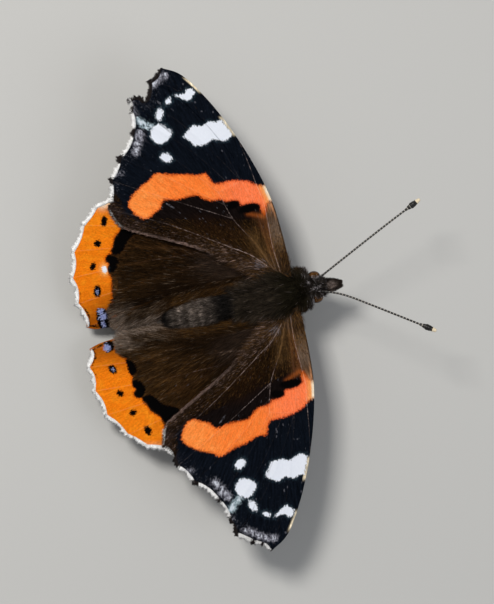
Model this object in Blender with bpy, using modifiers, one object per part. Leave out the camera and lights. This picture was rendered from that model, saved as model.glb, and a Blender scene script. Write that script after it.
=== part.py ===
"""Red admiral butterfly, life size, standing with its wings held open as it basks.

Everything is drawn in the butterfly's own frame first: X runs forward along the body, Y to its left, Z up,
with the origin on the body's midline between the fore wing roots. Sizes are millimetres. The empty named
stance then tips that frame nose up and stands it on the floor, which is the plane Z = 0.
"""

import math

import bmesh
import bpy
import numpy as np
from mathutils import Matrix, Vector
from mathutils.geometry import delaunay_2d_cdt

MM = 0.001
GAP = 0.3  # air left between one node and the next
LEFT, RIGHT = 1, -1
SIDES = {"left": LEFT, "right": RIGHT}

# Stance
PITCH = math.radians(7.0)  # nose up
STAND_HEIGHT = 7.5  # of the frame's origin over the floor
MIDDLE_X = 5.09  # puts the middle of the whole model over the world's origin

# Body: each form is a run of cross sections, rear to front: x, half width, half height, middle's height
THORAX = [
    (-7.9, 0, 0, -1.2), (-7.55, 1.3, 1.3, -1.2), (-6.4, 2.4, 2.3, -1.15), (-4.2, 3.15, 3.0, -1.05),
    (-1.9, 3.3, 3.15, -1.0), (0.0, 2.95, 2.75, -1.0), (1.2, 2.25, 2.1, -1.0), (1.75, 1.5, 1.45, -1.0),
    (1.95, 0, 0, -1.0),
]
ABDOMEN = [
    (-18.3, 0, 0, -1.8), (-18.0, 0.6, 0.6, -1.75), (-17.0, 1.25, 1.2, -1.6), (-15.0, 1.9, 1.85, -1.35),
    (-12.6, 2.15, 2.1, -1.15), (-10.0, 2.05, 2.05, -1.05), (-7.9, 1.8, 1.8, -1.05), (-6.3, 1.5, 1.5, -1.1),
    (-6.0, 0, 0, -1.1),
]
ABDOMEN_SEGMENTS = 9
SEGMENT_GROOVE = 0.12
GROOVE_SHARE = 0.3  # of a segment's length
HEAD = [
    (1.15, 0, 0, -1.0), (1.35, 1.05, 1.0, -1.0), (2.2, 1.6, 1.55, -1.05),
    (3.1, 1.7, 1.6, -1.1), (3.8, 1.3, 1.35, -1.2), (4.15, 0.8, 0.9, -1.3), (4.3, 0, 0, -1.3),
]
HEAD_TURN = math.radians(-5.0)  # the head looks a little to its right
NECK_X = 1.5
EYE_CENTRE = (2.95, 1.42, -1.0)
EYE_RADII = (0.92, 0.78, 1.1)

# Feelers and mouth parts: centre lines from root to tip, and radii along them
PALP_LINE = [(3.2, 0.55, -1.9), (4.2, 0.52, -1.75), (5.5, 0.52, -1.25), (6.75, 0.36, -0.75)]
PALP_RADII = [0.36, 0.37, 0.34, 0.12]
PROBOSCIS_CENTRE = (3.75, -3.35)
PROBOSCIS_TURNS = 1.55
PROBOSCIS_TIGHTEST, PROBOSCIS_WIDEST = 0.32, 1.16
PROBOSCIS_RADIUS = 0.25
ANTENNA_LINES = {
    "left": [(3.1, 0.7, -0.35), (4.1, 1.15, 0.45), (9.0, 3.5, 1.55), (14.3, 6.0, 2.35), (19.2, 8.2, 2.6)],
    "right": [
        (3.1, -0.75, -0.35), (4.2, -1.05, 0.45), (6.6, -2.1, 1.1), (10.2, -4.5, 1.8), (17.4, -9.5, 2.6),
    ],
}
ANTENNA_RADIUS = 0.25
CLUB_RADIUS = 0.45
CLUB_SHARE = 0.16  # of the feeler's length
CLUB_TIP_RADIUS = 0.2

# Legs: points in the butterfly's frame down to the ankle, then the foot laid along the floor
FORELEG_LINE = [(0.3, 0.95, -2.6), (1.0, 1.1, -4.0), (2.3, 1.2, -4.5), (3.3, 1.1, -3.75)]
FORELEG_RADII = [0.42, 0.42, 0.34, 0.26]
HIPS = {"midleg": (-1.4, 1.4, -2.8), "hindleg": (-4.0, 1.3, -2.8)}
KNEES = {"midleg": (-1.2, 5.6, -2.5), "hindleg": (-7.9, 5.4, -2.2)}
ANKLES = {"midleg": (-1.9, 8.3), "hindleg": (-11.8, 8.0)}
TOES = {"midleg": (-1.3, 11.6), "hindleg": (-15.2, 9.6)}
HIP_RADIUS, KNEE_RADIUS, ANKLE_RADIUS, TOE_RADIUS = 0.48, 0.34, 0.27, 0.26
SOLE_SINK = 0.09  # a foot's tube is pressed flat this far up, which makes its sole

# Wings: thickness, and how a vein stands out of both faces
MEMBRANE = 0.5
VEIN_RIDGE = 0.84
MARGIN = 0.45
VEIN_HALF_WIDTH = 0.45
VEIN_STEP = 2.3
FILL_STEP = 2.5
MARGIN_CLEAR = 0.5

# Fore wing. The margin runs from vein tip to vein tip, and dips between them.
FORE_COSTA = [
    (0.1, 1.8), (0.25, 4.2), (0.2, 8.0), (-0.15, 12.4), (-1.2, 17.0), (-3.0, 22.2), (-5.3, 27.2),
    (-8.1, 31.5),
]
FORE_TIPS = {
    LEFT: [
        (-10.7, 33.2), (-13.0, 31.8), (-16.2, 30.0), (-16.25, 28.3),
        (-16.6, 25.8), (-19.1, 22.9), (-21.0, 20.2), (-21.95, 16.4),
    ],
    RIGHT: [
        (-10.8, 33.3), (-13.1, 31.8), (-15.3, 30.2), (-15.6, 28.2),
        (-16.5, 25.2), (-19.2, 22.2), (-20.9, 19.6), (-21.95, 16.4),
    ],
}
FORE_DIPS = [0.15, 0.1, 0.2, 0.25, 0.35, 0.25, 0.25]
FORE_INNER = [
    (-21.1, 14.0), (-19.5, 12.75), (-15.8, 10.8), (-12.0, 8.8), (-8.0, 6.4), (-5.0, 4.1), (-3.6, 1.8),
]
NOTCH = [(-13.25, 30.3), (-13.75, 29.6), (-14.2, 30.15), (-15.1, 30.4)]  # a tear in the left wing's margin
FORE_VEINS = {
    "subcosta": [(-0.7, 3.0), (-0.75, 8.0), (-1.2, 13.4), (-2.1, 18.0), (-2.7, 21.4)],
    "radius": [(-1.3, 3.2), (-1.75, 8.5), (-2.7, 13.2), (-3.6, 16.0), (-5.4, 21.6), (-7.6, 27.6)],
    "radius_fork": [(-7.6, 27.6), (-10.0, 30.4)],
    "media_1": [(-3.6, 16.0), (-7.6, 22.4), (-11.6, 27.3)],
    "media_2": [(-5.0, 15.6), (-9.4, 21.6)],
    "media_3": [(-6.9, 15.2), (-11.6, 20.8)],
    "cell_end": [(-3.6, 16.0), (-5.0, 15.6), (-6.9, 15.2)],
    "cubitus": [(-1.9, 3.3), (-3.6, 7.4), (-5.8, 11.3), (-6.9, 15.2)],
    "cubitus_1": [(-6.4, 13.3), (-12.6, 18.2)],
    "cubitus_2": [(-5.8, 11.3), (-12.4, 15.1)],
    "anal": [(-2.6, 3.4), (-8.4, 8.5), (-14.6, 12.6)],
}
# Which tip of the margin each of these veins runs out to
FORE_VEIN_TIPS = {
    "radius": 0, "radius_fork": 1, "media_1": 2, "media_2": 3,
    "media_3": 4, "cubitus_1": 5, "cubitus_2": 6, "anal": 7,
}
FORE_ROOT_Z, FORE_RISE, FORE_SAG, FORE_CAMBER = 0.95, 0.105, 0.0016, 0.003

# Hind wing
HIND_COSTA = [(-1.3, 1.8), (-1.9, 5.2), (-4.0, 9.5), (-7.5, 13.6), (-11.5, 16.6), (-15.6, 18.2)]
HIND_TIPS = [
    (-19.4, 18.3), (-23.9, 16.75), (-26.1, 14.5), (-28.2, 11.3), (-29.15, 7.8), (-29.3, 4.3), (-28.4, 1.45),
]
HIND_DIPS = [0.15, 0.12, 0.25, 0.35, 0.42, 0.3]
HIND_INNER = [
    (-27.2, 1.0), (-24.0, 0.75), (-21.0, 0.5), (-19.0, 0.6), (-17.2, 1.1), (-15.0, 1.7), (-12.0, 1.95),
    (-8.5, 1.9), (-6.3, 1.7),
]
HIND_VEINS = {
    "subcosta": [(-2.6, 3.4), (-5.4, 8.6), (-10.2, 13.6), (-15.6, 18.2)],
    "radius": [(-3.0, 3.3), (-6.6, 7.8), (-12.2, 13.2), (-19.4, 18.3)],
    "media_1": [(-8.9, 9.9), (-16.0, 13.9), (-23.9, 16.75)],
    "media_2": [(-11.2, 10.2), (-18.4, 12.6), (-26.1, 14.5)],
    "media_3": [(-13.2, 8.6), (-20.4, 10.3), (-28.2, 11.3)],
    "cubitus": [(-3.6, 3.2), (-8.0, 5.8), (-13.2, 8.6)],
    "cubitus_1": [(-11.6, 7.7), (-19.6, 8.0), (-29.15, 7.8)],
    "cubitus_2": [(-8.8, 6.3), (-18.4, 5.4), (-29.3, 4.3)],
    "anal": [(-4.4, 3.2), (-11.0, 4.5), (-19.0, 2.9), (-28.4, 1.45)],
}
HIND_ROOT_Z, HIND_RISE, HIND_CAMBER = -0.25, 0.078, 0.0025
HIND_PIVOT = (-3.0, 3.0)
HIND_TURN = math.radians(1.45)  # the left hind wing is drawn out by this, and the right one in
HIND_FAN = math.radians(12.0)  # the turn fades to nothing over this angle next to the inner margin
GUTTER_DEPTH, GUTTER_WIDTH = 0.85, 1.4  # the inner margin folds down along the abdomen

COLOURS = {
    "fur": ((0.035, 0.025, 0.018), 0.9),
    "abdomen": ((0.045, 0.038, 0.036), 0.8),
    "eye": ((0.09, 0.035, 0.012), 0.25),
    "feeler": ((0.02, 0.018, 0.016), 0.5),
    "leg": ((0.16, 0.11, 0.07), 0.7),
    "fore_wing": ((0.03, 0.02, 0.016), 0.85),
    "hind_wing": ((0.06, 0.03, 0.014), 0.85),
}


def clear_scene():
    for thing in list(bpy.data.objects):
        bpy.data.objects.remove(thing)


def collection(name):
    made = bpy.data.collections.new(name)
    bpy.context.scene.collection.children.link(made)
    return made


def material(name):
    made = bpy.data.materials.get(name)
    if made is None:
        colour, roughness = COLOURS[name]
        made = bpy.data.materials.new(name)
        made.use_nodes = True
        shader = made.node_tree.nodes["Principled BSDF"]
        shader.inputs["Base Color"].default_value = (*colour, 1)
        shader.inputs["Roughness"].default_value = roughness
        shader.inputs["Metallic"].default_value = 0
    return made


def place(name, mesh, finish, parent=None):
    """Puts a mesh in the scene as one named piece."""
    piece = bpy.data.objects.new(name, mesh)
    mesh.materials.clear()
    mesh.materials.append(material(finish))
    parts.objects.link(piece)
    piece.parent = parent
    return piece


def as_cutter(piece):
    parts.objects.unlink(piece)
    cutters.objects.link(piece)
    piece.hide_render = True
    piece.display_type = "WIRE"
    return piece


def cut(piece, *others):
    """Takes the cutters out of a piece, so that it ends face to face with its neighbours."""
    for other in others:
        modifier = piece.modifiers.new("clear_of_" + other.name, "BOOLEAN")
        modifier.operation = "DIFFERENCE"
        modifier.object = other
    return piece


def smooth_line(points, step):
    """Points about a step apart on the curve that runs evenly through the given ones (Catmull-Rom)."""
    p = np.array(points, float)
    p = np.vstack([2 * p[0] - p[1], p, 2 * p[-1] - p[-2]])
    line = []
    for a, b, c, d in zip(p, p[1:], p[2:], p[3:]):
        count = max(1, round(float(np.linalg.norm(c - b)) / step))
        for t in np.arange(count) / count:
            bend = (2 * a - 5 * b + 4 * c - d) * t**2 + (3 * b - a - 3 * c + d) * t**3
            line.append(0.5 * (2 * b + (c - a) * t + bend))
    line.append(p[-2])
    return np.array(line)


def along(line):
    """The share of a line's length at each of its points."""
    run = np.concatenate([[0], np.cumsum(np.linalg.norm(np.diff(line, axis=0), axis=1))])
    return run / run[-1]


def round_form(name, form, finish, step=0.6, sides=20, grow=0.0, groove=None):
    """A sphere drawn out along X: each ring takes one of the form's cross sections, smoothly joined."""
    sections = smooth_line(form, step)
    rings = len(sections) - 1
    middle = (form[0][0] + form[-1][0]) / 2
    bm = bmesh.new()
    bmesh.ops.create_uvsphere(bm, u_segments=sides, v_segments=rings, radius=1)
    for vert in bm.verts:
        direction = vert.co.normalized()
        from_front = math.acos(max(-1, min(1, direction.z))) / math.pi
        x, width, height, centre = sections[round((1 - from_front) * rings)]
        across = Vector((direction.x, direction.y))
        across = across.normalized() if across.length > 1e-4 else across * 0
        dent = groove(x) if groove else 0.0
        out = across.x * (max(width, 0) + grow - dent)
        up = across.y * (max(height, 0) + grow - dent)
        vert.co = Vector((x + math.copysign(grow, x - middle) * abs(direction.z), out, centre + up)) * MM
    mesh = bpy.data.meshes.new(name)
    bm.to_mesh(mesh)
    bm.free()
    mesh.shade_smooth()
    return place(name, mesh, finish, stance)


def ball(name, centre, radii, finish, grow=0.0, rings=12, sides=16):
    bm = bmesh.new()
    bmesh.ops.create_uvsphere(bm, u_segments=sides, v_segments=rings, radius=1)
    size = Vector([r + grow for r in radii]) * MM
    bmesh.ops.scale(bm, vec=size, verts=bm.verts)
    bmesh.ops.translate(bm, vec=Vector(centre) * MM, verts=bm.verts)
    mesh = bpy.data.meshes.new(name)
    bm.to_mesh(mesh)
    bm.free()
    mesh.shade_smooth()
    return place(name, mesh, finish, stance)


def tube(name, line, radii, finish, parent=None, roundness=2):
    """A round bar along a line, with a radius at each point, made a closed mesh."""
    curve = bpy.data.curves.new(name, "CURVE")
    curve.dimensions = "3D"
    curve.bevel_depth = MM
    curve.bevel_resolution = roundness
    curve.use_fill_caps = True
    spline = curve.splines.new("POLY")
    spline.points.add(len(line) - 1)
    for point, co, radius in zip(spline.points, line, radii):
        point.co = (*(Vector(co) * MM), 1)
        point.radius = radius
    guide = bpy.data.objects.new(name + "_guide", curve)
    bpy.context.scene.collection.objects.link(guide)
    graph = bpy.context.evaluated_depsgraph_get()
    mesh = bpy.data.meshes.new_from_object(guide.evaluated_get(graph))
    bpy.data.objects.remove(guide)
    bm = bmesh.new()
    bm.from_mesh(mesh)
    bmesh.ops.remove_doubles(bm, verts=bm.verts, dist=0.001 * MM)
    bmesh.ops.recalc_face_normals(bm, faces=bm.faces)
    bm.to_mesh(mesh)
    bm.free()
    mesh.name = name
    mesh.shade_smooth()
    return place(name, mesh, finish, parent)


def mirrored(points, side):
    return [(p[0], side * p[1], *p[2:]) for p in points]


def turned_head(points):
    """Turns points with the head, about the neck."""
    about = Matrix.Translation((NECK_X, 0, 0)) @ Matrix.Rotation(HEAD_TURN, 4, "Z")
    about = about @ Matrix.Translation((-NECK_X, 0, 0))
    return [tuple(about @ Vector(p)) for p in points]


def turn_piece_with_head(piece):
    about = Matrix.Translation((NECK_X * MM, 0, 0)) @ Matrix.Rotation(HEAD_TURN, 4, "Z")
    piece.data.transform(about @ Matrix.Translation((-NECK_X * MM, 0, 0)))
    return piece


def segment_grooves(x):
    """How far the abdomen is drawn in at x: a narrow ring between every two of its segments."""
    rear, front = ABDOMEN[0][0], ABDOMEN[-1][0]
    count = (x - rear) / (front - rear) * ABDOMEN_SEGMENTS
    from_joint = abs(count - round(count))
    return SEGMENT_GROOVE * max(0.0, 1 - from_joint / GROOVE_SHARE) * (1 <= round(count) < ABDOMEN_SEGMENTS)


def make_body():
    """Thorax, abdomen, head and eyes, with the enlarged copies that clear a gap round them."""
    thorax_room = as_cutter(round_form("thorax_room", THORAX, "fur", grow=GAP))
    abdomen_room = as_cutter(round_form("abdomen_room", ABDOMEN, "abdomen", grow=GAP))
    head_room = as_cutter(turn_piece_with_head(round_form("head_room", HEAD, "fur", grow=GAP)))
    round_form("thorax", THORAX, "fur", sides=24)
    abdomen = round_form("abdomen", ABDOMEN, "abdomen", step=0.42, groove=segment_grooves)
    cut(abdomen, thorax_room)
    head = turn_piece_with_head(round_form("head", HEAD, "fur", step=0.3))
    cut(head, thorax_room)
    for name, side in SIDES.items():
        centre = mirrored([EYE_CENTRE], side)[0]
        eye = turn_piece_with_head(ball("eye_" + name, centre, EYE_RADII, "eye"))
        room = as_cutter(turn_piece_with_head(ball("eye_room_" + name, centre, EYE_RADII, "eye", grow=GAP)))
        cut(head, room)
        cut(eye, thorax_room)
    return thorax_room, abdomen_room, head_room


def make_mouth(head_room):
    """The two palps in front of the face, and the coiled tongue under it."""
    for name, side in SIDES.items():
        line = smooth_line(turned_head(mirrored(PALP_LINE, side)), 0.7)
        radii = np.interp(along(line), np.linspace(0, 1, len(PALP_RADII)), PALP_RADII)
        cut(tube("palp_" + name, line, radii, "fur", stance), head_room)
    angles = np.linspace(0, PROBOSCIS_TURNS * 2 * math.pi, 26)
    reach = np.linspace(PROBOSCIS_WIDEST, PROBOSCIS_TIGHTEST, len(angles))
    x, z = PROBOSCIS_CENTRE
    coil = [(x - r * math.sin(a + 0.35), 0, z + r * math.cos(a + 0.35)) for a, r in zip(angles, reach)]
    root = [(x - 0.55, 0, z + PROBOSCIS_WIDEST + 0.9)]
    line = turned_head(root + coil)
    cut(tube("proboscis", line, [PROBOSCIS_RADIUS] * len(line), "feeler", stance), head_room)


def make_antennae(head_room):
    """Thin shafts that end in a club with a small pale tip."""
    shares = [0, 1 - CLUB_SHARE, 1 - 0.55 * CLUB_SHARE, 1 - 0.1 * CLUB_SHARE, 1]
    widths = [ANTENNA_RADIUS, ANTENNA_RADIUS, CLUB_RADIUS, CLUB_RADIUS * 0.85, CLUB_TIP_RADIUS]
    for name, points in ANTENNA_LINES.items():
        line = smooth_line(points, 0.8)
        radii = np.interp(along(line), shares, widths)
        cut(tube("antenna_" + name, line, radii, "feeler", stance), head_room)


def on_floor(point):
    """Where a point (x, y) of the butterfly's frame comes down on the floor: the world's millimetres."""
    there = STANCE @ (Vector((point[0], point[1], -STAND_HEIGHT)) * MM) / MM
    return (there.x, there.y, TOE_RADIUS - SOLE_SINK)


def make_legs(thorax_room):
    """Four walking legs with their feet flat on the floor, and the small folded fore legs."""
    for name, side in SIDES.items():
        line = smooth_line(mirrored(FORELEG_LINE, side), 0.7)
        radii = np.interp(along(line), np.linspace(0, 1, len(FORELEG_RADII)), FORELEG_RADII)
        cut(tube("foreleg_" + name, line, radii, "fur", stance), thorax_room)
        for leg in HIPS:
            hip, knee = (STANCE @ (Vector(p) * MM) / MM for p in mirrored([HIPS[leg], KNEES[leg]], side))
            ankle, toe = (Vector(on_floor(p)) for p in mirrored([ANKLES[leg], TOES[leg]], side))
            thigh = [hip, hip.lerp(knee, 0.5) + Vector((0, 0, 0.25)), hip.lerp(knee, 0.93)]
            bend = thigh + [knee.lerp(ankle, 0.06)]
            shin = [knee.lerp(ankle, 0.5), knee.lerp(ankle, 0.93) + Vector((0, 0, 0.12))]
            foot = [ankle.lerp(toe, 0.08), ankle.lerp(toe, 0.35), ankle.lerp(toe, 0.7), toe]
            line = bend + shin + foot
            widths = [HIP_RADIUS, HIP_RADIUS, KNEE_RADIUS, KNEE_RADIUS, KNEE_RADIUS, ANKLE_RADIUS]
            widths += [TOE_RADIUS] * len(foot)
            piece = tube(f"{leg}_{name}", line, widths, "leg")
            for vert in piece.data.vertices:
                vert.co.z = max(vert.co.z, 0)
            cut(piece, thorax_room)


def scalloped(tips, dips, steps=4):
    """The margin from tip to tip. Between two tips it bows in by that pair's dip."""
    margin = []
    for a, b, dip in zip(tips, tips[1:], dips):
        a, b = np.array(a), np.array(b)
        inward = np.array([a[1] - b[1], b[0] - a[0]]) / np.linalg.norm(b - a)
        for f in np.arange(steps) / steps:
            margin.append(a + (b - a) * f + inward * dip * math.sin(math.pi * f))
    return margin + [np.array(tips[-1])]


def fore_outline(side):
    margin = scalloped(FORE_TIPS[side], FORE_DIPS)
    if side == LEFT:
        second, third = 4, 8  # where the second and third tips stand in the margin
        margin = margin[: second + 1] + [np.array(p) for p in NOTCH] + margin[third:]
    front = list(smooth_line(FORE_COSTA + FORE_TIPS[side][:1], 2.6)[:-1])
    return front + margin + list(smooth_line(FORE_INNER, 2.6))


def fore_veins(side):
    """The veins, each drawn on to its own tip of that side's margin."""
    tips = FORE_TIPS[side]
    return {name: line + ([tips[FORE_VEIN_TIPS[name]]] if name in FORE_VEIN_TIPS else [])
            for name, line in FORE_VEINS.items()}


def hind_outline(side):
    front = list(smooth_line(HIND_COSTA + HIND_TIPS[:1], 2.6)[:-1])
    return front + scalloped(HIND_TIPS, HIND_DIPS) + list(smooth_line(HIND_INNER, 1.9))


def hind_veins(side):
    return HIND_VEINS


def fore_height(x, y):
    """The fore wing's middle surface: it rises from the root, flattens outwards and is arched lengthwise."""
    out = y - 3.0
    return FORE_ROOT_Z + FORE_RISE * out - FORE_SAG * out**2 - FORE_CAMBER * (x + 8.0) ** 2


def hind_height(x, y):
    """The hind wing's middle surface, with its inner edge folded down along the abdomen."""
    inner = np.array(HIND_INNER)[::-1]
    order = np.argsort(inner[:, 0])
    beside = y - np.interp(x, inner[order, 0], inner[order, 1])
    fold = GUTTER_DEPTH * math.exp(-((max(beside, 0) / GUTTER_WIDTH) ** 2))
    fold *= min(1.0, max(0.0, (-6.0 - x) / 3.0))
    return HIND_ROOT_Z + HIND_RISE * (y - 3.0) - HIND_CAMBER * (x + 8.0) ** 2 - fold


def spread(x, y, side):
    """Turns a point of the hind wing about the wing's root, less and less towards the inner margin."""
    dx, dy = x - HIND_PIVOT[0], y - HIND_PIVOT[1]
    from_body = math.atan2(dy, -dx) + math.radians(5.0)
    share = min(1.0, max(0.0, from_body / HIND_FAN))
    angle = -side * HIND_TURN * share * share * (3 - 2 * share)
    cos, sin = math.cos(angle), math.sin(angle)
    return HIND_PIVOT[0] + dx * cos - dy * sin, HIND_PIVOT[1] + dx * sin + dy * cos


def distance_to_lines(point, lines):
    """The distance from a point to the nearest of several lines."""
    nearest = math.inf
    for line in lines:
        a, b = line[:-1], line[1:]
        run = b - a
        t = np.clip(((point - a) * run).sum(1) / (run * run).sum(1), 0, 1)
        nearest = min(nearest, float(np.linalg.norm(a + run * t[:, None] - point, axis=1).min()))
    return nearest


def vein_points(veins, rim):
    """The points and edges of the veins' centre lines, and of foot lines beside them where there is room."""
    points = [point for line in veins for point in line]
    ends = np.cumsum([len(line) for line in veins])
    edges = [(i, i + 1) for i in range(len(points) - 1) if i + 1 not in ends]
    for line in veins:
        run = np.gradient(line, axis=0)
        across = np.stack([-run[:, 1], run[:, 0]], 1) / np.linalg.norm(run, axis=1)[:, None]
        for sign in (-1, 1):
            last = None
            for point in line + sign * VEIN_HALF_WIDTH * across:
                clear = distance_to_lines(point, veins) > 0.8 * VEIN_HALF_WIDTH
                nearest = min(np.linalg.norm(point - other) for other in points)
                clear = clear and nearest > 0.8 * VEIN_HALF_WIDTH
                clear = clear and distance_to_lines(point, [rim]) > MARGIN_CLEAR
                if not (clear and inside(point, rim)):
                    last = None
                    continue
                points.append(point)
                if last is not None:
                    edges.append((last, len(points) - 1))
                last = len(points) - 1
    return points, edges


def inside(point, rim):
    """Whether a point lies within a closed outline."""
    a, b = rim, np.roll(rim, -1, axis=0)
    crosses = (a[:, 1] > point[1]) != (b[:, 1] > point[1])
    rise = np.where(crosses, b[:, 1] - a[:, 1], 1)
    at = a[:, 0] + (point[1] - a[:, 1]) / rise * (b[:, 0] - a[:, 0])
    return bool((crosses & (point[0] < at)).sum() % 2)


def make_wing(name, side, outline, vein_map, height, finish, moved=None):
    """A membrane cut to its outline, split along its veins, and thickened both ways, most on the veins."""
    rim = np.array(outline(side))
    closed_rim = np.vstack([rim, rim[:1]])
    veins = [smooth_line(points, VEIN_STEP) for points in vein_map(side).values()]
    points, edges = vein_points(veins, closed_rim)
    low, high = rim.min(0), rim.max(0)
    for x in np.arange(low[0], high[0], FILL_STEP):
        for y in np.arange(low[1], high[1], FILL_STEP):
            point = np.array([x, y])
            far = distance_to_lines(point, veins + [closed_rim]) > 0.42 * FILL_STEP
            if far and inside(point, rim):
                points.append(point)
    edges = [(a + len(rim), b + len(rim)) for a, b in edges]
    corners = [Vector(p) for p in [*rim, *points]]
    made = delaunay_2d_cdt(corners, edges, [list(range(len(rim)))], 1, 1e-3)
    flat, faces = made[0], made[2]
    mesh = bpy.data.meshes.new(name)
    verts, weights = [], []
    for point in flat:
        x, y = point
        z = height(x, y)
        at_edge = distance_to_lines(np.array([x, y]), [closed_rim]) < 0.05
        ridge = max(0.0, 1 - distance_to_lines(np.array([x, y]), veins) / VEIN_HALF_WIDTH)
        thick = MARGIN if at_edge else MEMBRANE + (VEIN_RIDGE - MEMBRANE) * ridge
        if moved:
            x, y = moved(x, y, side)
        verts.append(Vector((x, side * y, z)) * MM)
        weights.append(thick / VEIN_RIDGE)
    mesh.from_pydata(verts, [], [f if side == LEFT else f[::-1] for f in faces])
    piece = place(name, mesh, finish, stance)
    group = piece.vertex_groups.new(name="thickness")
    for index, weight in enumerate(weights):
        group.add([index], weight, "REPLACE")
    solid = piece.modifiers.new("thickness", "SOLIDIFY")
    solid.thickness = VEIN_RIDGE * MM
    solid.offset = 0
    solid.vertex_group = group.name
    solid.use_rim = True
    return piece


def make_wings(thorax_room, abdomen_room):
    for name, side in SIDES.items():
        fore = make_wing("forewing_" + name, side, fore_outline, fore_veins, fore_height, "fore_wing")
        cut(fore, thorax_room)
        hind = make_wing(
            "hindwing_" + name, side, hind_outline, hind_veins, hind_height, "hind_wing", spread
        )
        cut(hind, thorax_room, abdomen_room)


clear_scene()
parts = collection("red_admiral")
cutters = collection("cutters")
STANCE = Matrix.Translation((MIDDLE_X * MM, 0, STAND_HEIGHT * MM)) @ Matrix.Rotation(-PITCH, 4, "Y")
stance = bpy.data.objects.new("stance", None)
parts.objects.link(stance)
stance.matrix_world = STANCE

rooms = make_body()
make_mouth(rooms[2])
make_antennae(rooms[2])
make_legs(rooms[0])
make_wings(rooms[0], rooms[1])
bpy.context.view_layer.update()
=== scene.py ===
# %% [markdown]
# A red admiral basks with its wings held open, seen from straight above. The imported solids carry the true
# outline and pose. This lesson dresses them with thin scaled wings, a coat of fur, faceted eyes, ringed
# feelers and jointed legs.

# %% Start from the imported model
import math

import bpy
import numpy as np
from mathutils import Matrix, Vector


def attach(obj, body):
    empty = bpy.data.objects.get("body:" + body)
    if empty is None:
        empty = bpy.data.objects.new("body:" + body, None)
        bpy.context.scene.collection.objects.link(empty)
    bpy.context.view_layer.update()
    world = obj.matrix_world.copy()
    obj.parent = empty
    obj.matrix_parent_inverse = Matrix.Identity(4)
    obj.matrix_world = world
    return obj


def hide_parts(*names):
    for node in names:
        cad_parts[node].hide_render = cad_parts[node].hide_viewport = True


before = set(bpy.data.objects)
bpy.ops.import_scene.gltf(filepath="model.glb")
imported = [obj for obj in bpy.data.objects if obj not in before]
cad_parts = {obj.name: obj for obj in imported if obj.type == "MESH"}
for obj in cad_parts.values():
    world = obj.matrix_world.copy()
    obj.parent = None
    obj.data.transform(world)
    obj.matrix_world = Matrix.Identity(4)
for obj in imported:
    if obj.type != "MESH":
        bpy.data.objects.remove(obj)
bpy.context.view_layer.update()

# %% [markdown]
# The insect is easiest to draw in its own frame: X forward along the body, Y to its left, Z up, in
# millimetres, with the origin between the roots of the fore wings. In the world it stands nose up by
# seven degrees on its feet. One function carries whole arrays of points from the first frame to the
# second, so no piece needs turning afterwards, and every finished object stays at the world's origin.

# %% The stance, and points carried into the world
MM = 0.001
LEFT, RIGHT = 1, -1
SIDES = {"left": LEFT, "right": RIGHT}
PITCH = math.radians(7.0)
STAND_HEIGHT = 7.5
MIDDLE_X = 5.09
SEEDS = {
    "thorax": 11, "abdomen": 12, "head": 13, "palps": 20, "legs": 31, "forelegs": 41,
    "fringe": 50, "hind_hair": 60, "fore_hair": 70, "flank_hair": 80,
}
TILT = np.array([[math.cos(PITCH), 0, -math.sin(PITCH)], [0, 1, 0], [math.sin(PITCH), 0, math.cos(PITCH)]])


def standing(points):
    """Turns points nose up about the Y axis, then shifts them forward and up. All in millimetres."""
    return np.asarray(points, float) @ TILT.T + (MIDDLE_X, 0, STAND_HEIGHT)


def unit(vectors):
    """Each vector divided by its own length."""
    return vectors / np.maximum(np.linalg.norm(vectors, axis=-1, keepdims=True), 1e-9)


def smoothstep(value, low, high):
    """0 below low and 1 above high, with the even curve 3t² - 2t³ between them."""
    t = np.clip((value - low) / (high - low), 0, 1)
    return t * t * (3 - 2 * t)


def fade(value, low, high):
    """1 below low and 0 above high: the same curve turned over."""
    return 1 - smoothstep(value, low, high)


def within(value, a, b, c, d):
    """0 below a and above d, and 1 from b to c."""
    return smoothstep(value, a, b) * fade(value, c, d)


def bell(distance, width):
    """exp(-(distance / width)²): 1 at no distance, and almost 0 from two widths on."""
    return np.exp(-((distance / width) ** 2))


# %% [markdown]
# A mesh is only arrays: corners, and faces that name corners by number. Handing whole arrays to Blender
# is far quicker than adding faces one by one, which matters here, as the coat alone has tens of thousands
# of tufts. A note is one number or vector kept at each corner, such as the distance to a vein. Materials
# read these notes, so markings follow the wing wherever it goes, and no picture is needed.

# %% Meshes from arrays
def make_mesh(name, points, quads=(), triangles=(), in_world=False):
    """A mesh from corner points in millimetres, and from faces given as rows of corner numbers."""
    points = np.asarray(points, float).reshape(-1, 3)
    quads = np.asarray(quads, int).reshape(-1, 4)
    triangles = np.asarray(triangles, int).reshape(-1, 3)
    mesh = bpy.data.meshes.new(name)
    mesh.vertices.add(len(points))
    mesh.vertices.foreach_set("co", ((points if in_world else standing(points)) * MM).ravel())
    corners = np.concatenate([quads.ravel(), triangles.ravel()])
    mesh.loops.add(len(corners))
    mesh.loops.foreach_set("vertex_index", corners)
    mesh.polygons.add(len(quads) + len(triangles))
    starts = np.concatenate([np.arange(len(quads)) * 4, 4 * len(quads) + np.arange(len(triangles)) * 3])
    mesh.polygons.foreach_set("loop_start", starts)
    mesh.update(calc_edges=True)
    mesh.shade_smooth()
    return mesh


def keep_notes(mesh, **notes):
    """Stores one number or one vector for each corner of a mesh, under the given names."""
    for name, values in notes.items():
        values = np.asarray(values, np.float32)
        kind, field = ("FLOAT", "value") if values.ndim == 1 else ("FLOAT_VECTOR", "vector")
        mesh.attributes.new(name, kind, "POINT").data.foreach_set(field, values.ravel())


def keep_patches(mesh, spots):
    """A map of the surface: every corner of a face takes its point's spot (0 to 1)."""
    corners = np.empty(len(mesh.loops), np.int32)
    mesh.loops.foreach_get("vertex_index", corners)
    mesh.uv_layers.new(name="OFBake").data.foreach_set("uv", np.asarray(spots, np.float32)[corners].ravel())


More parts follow.
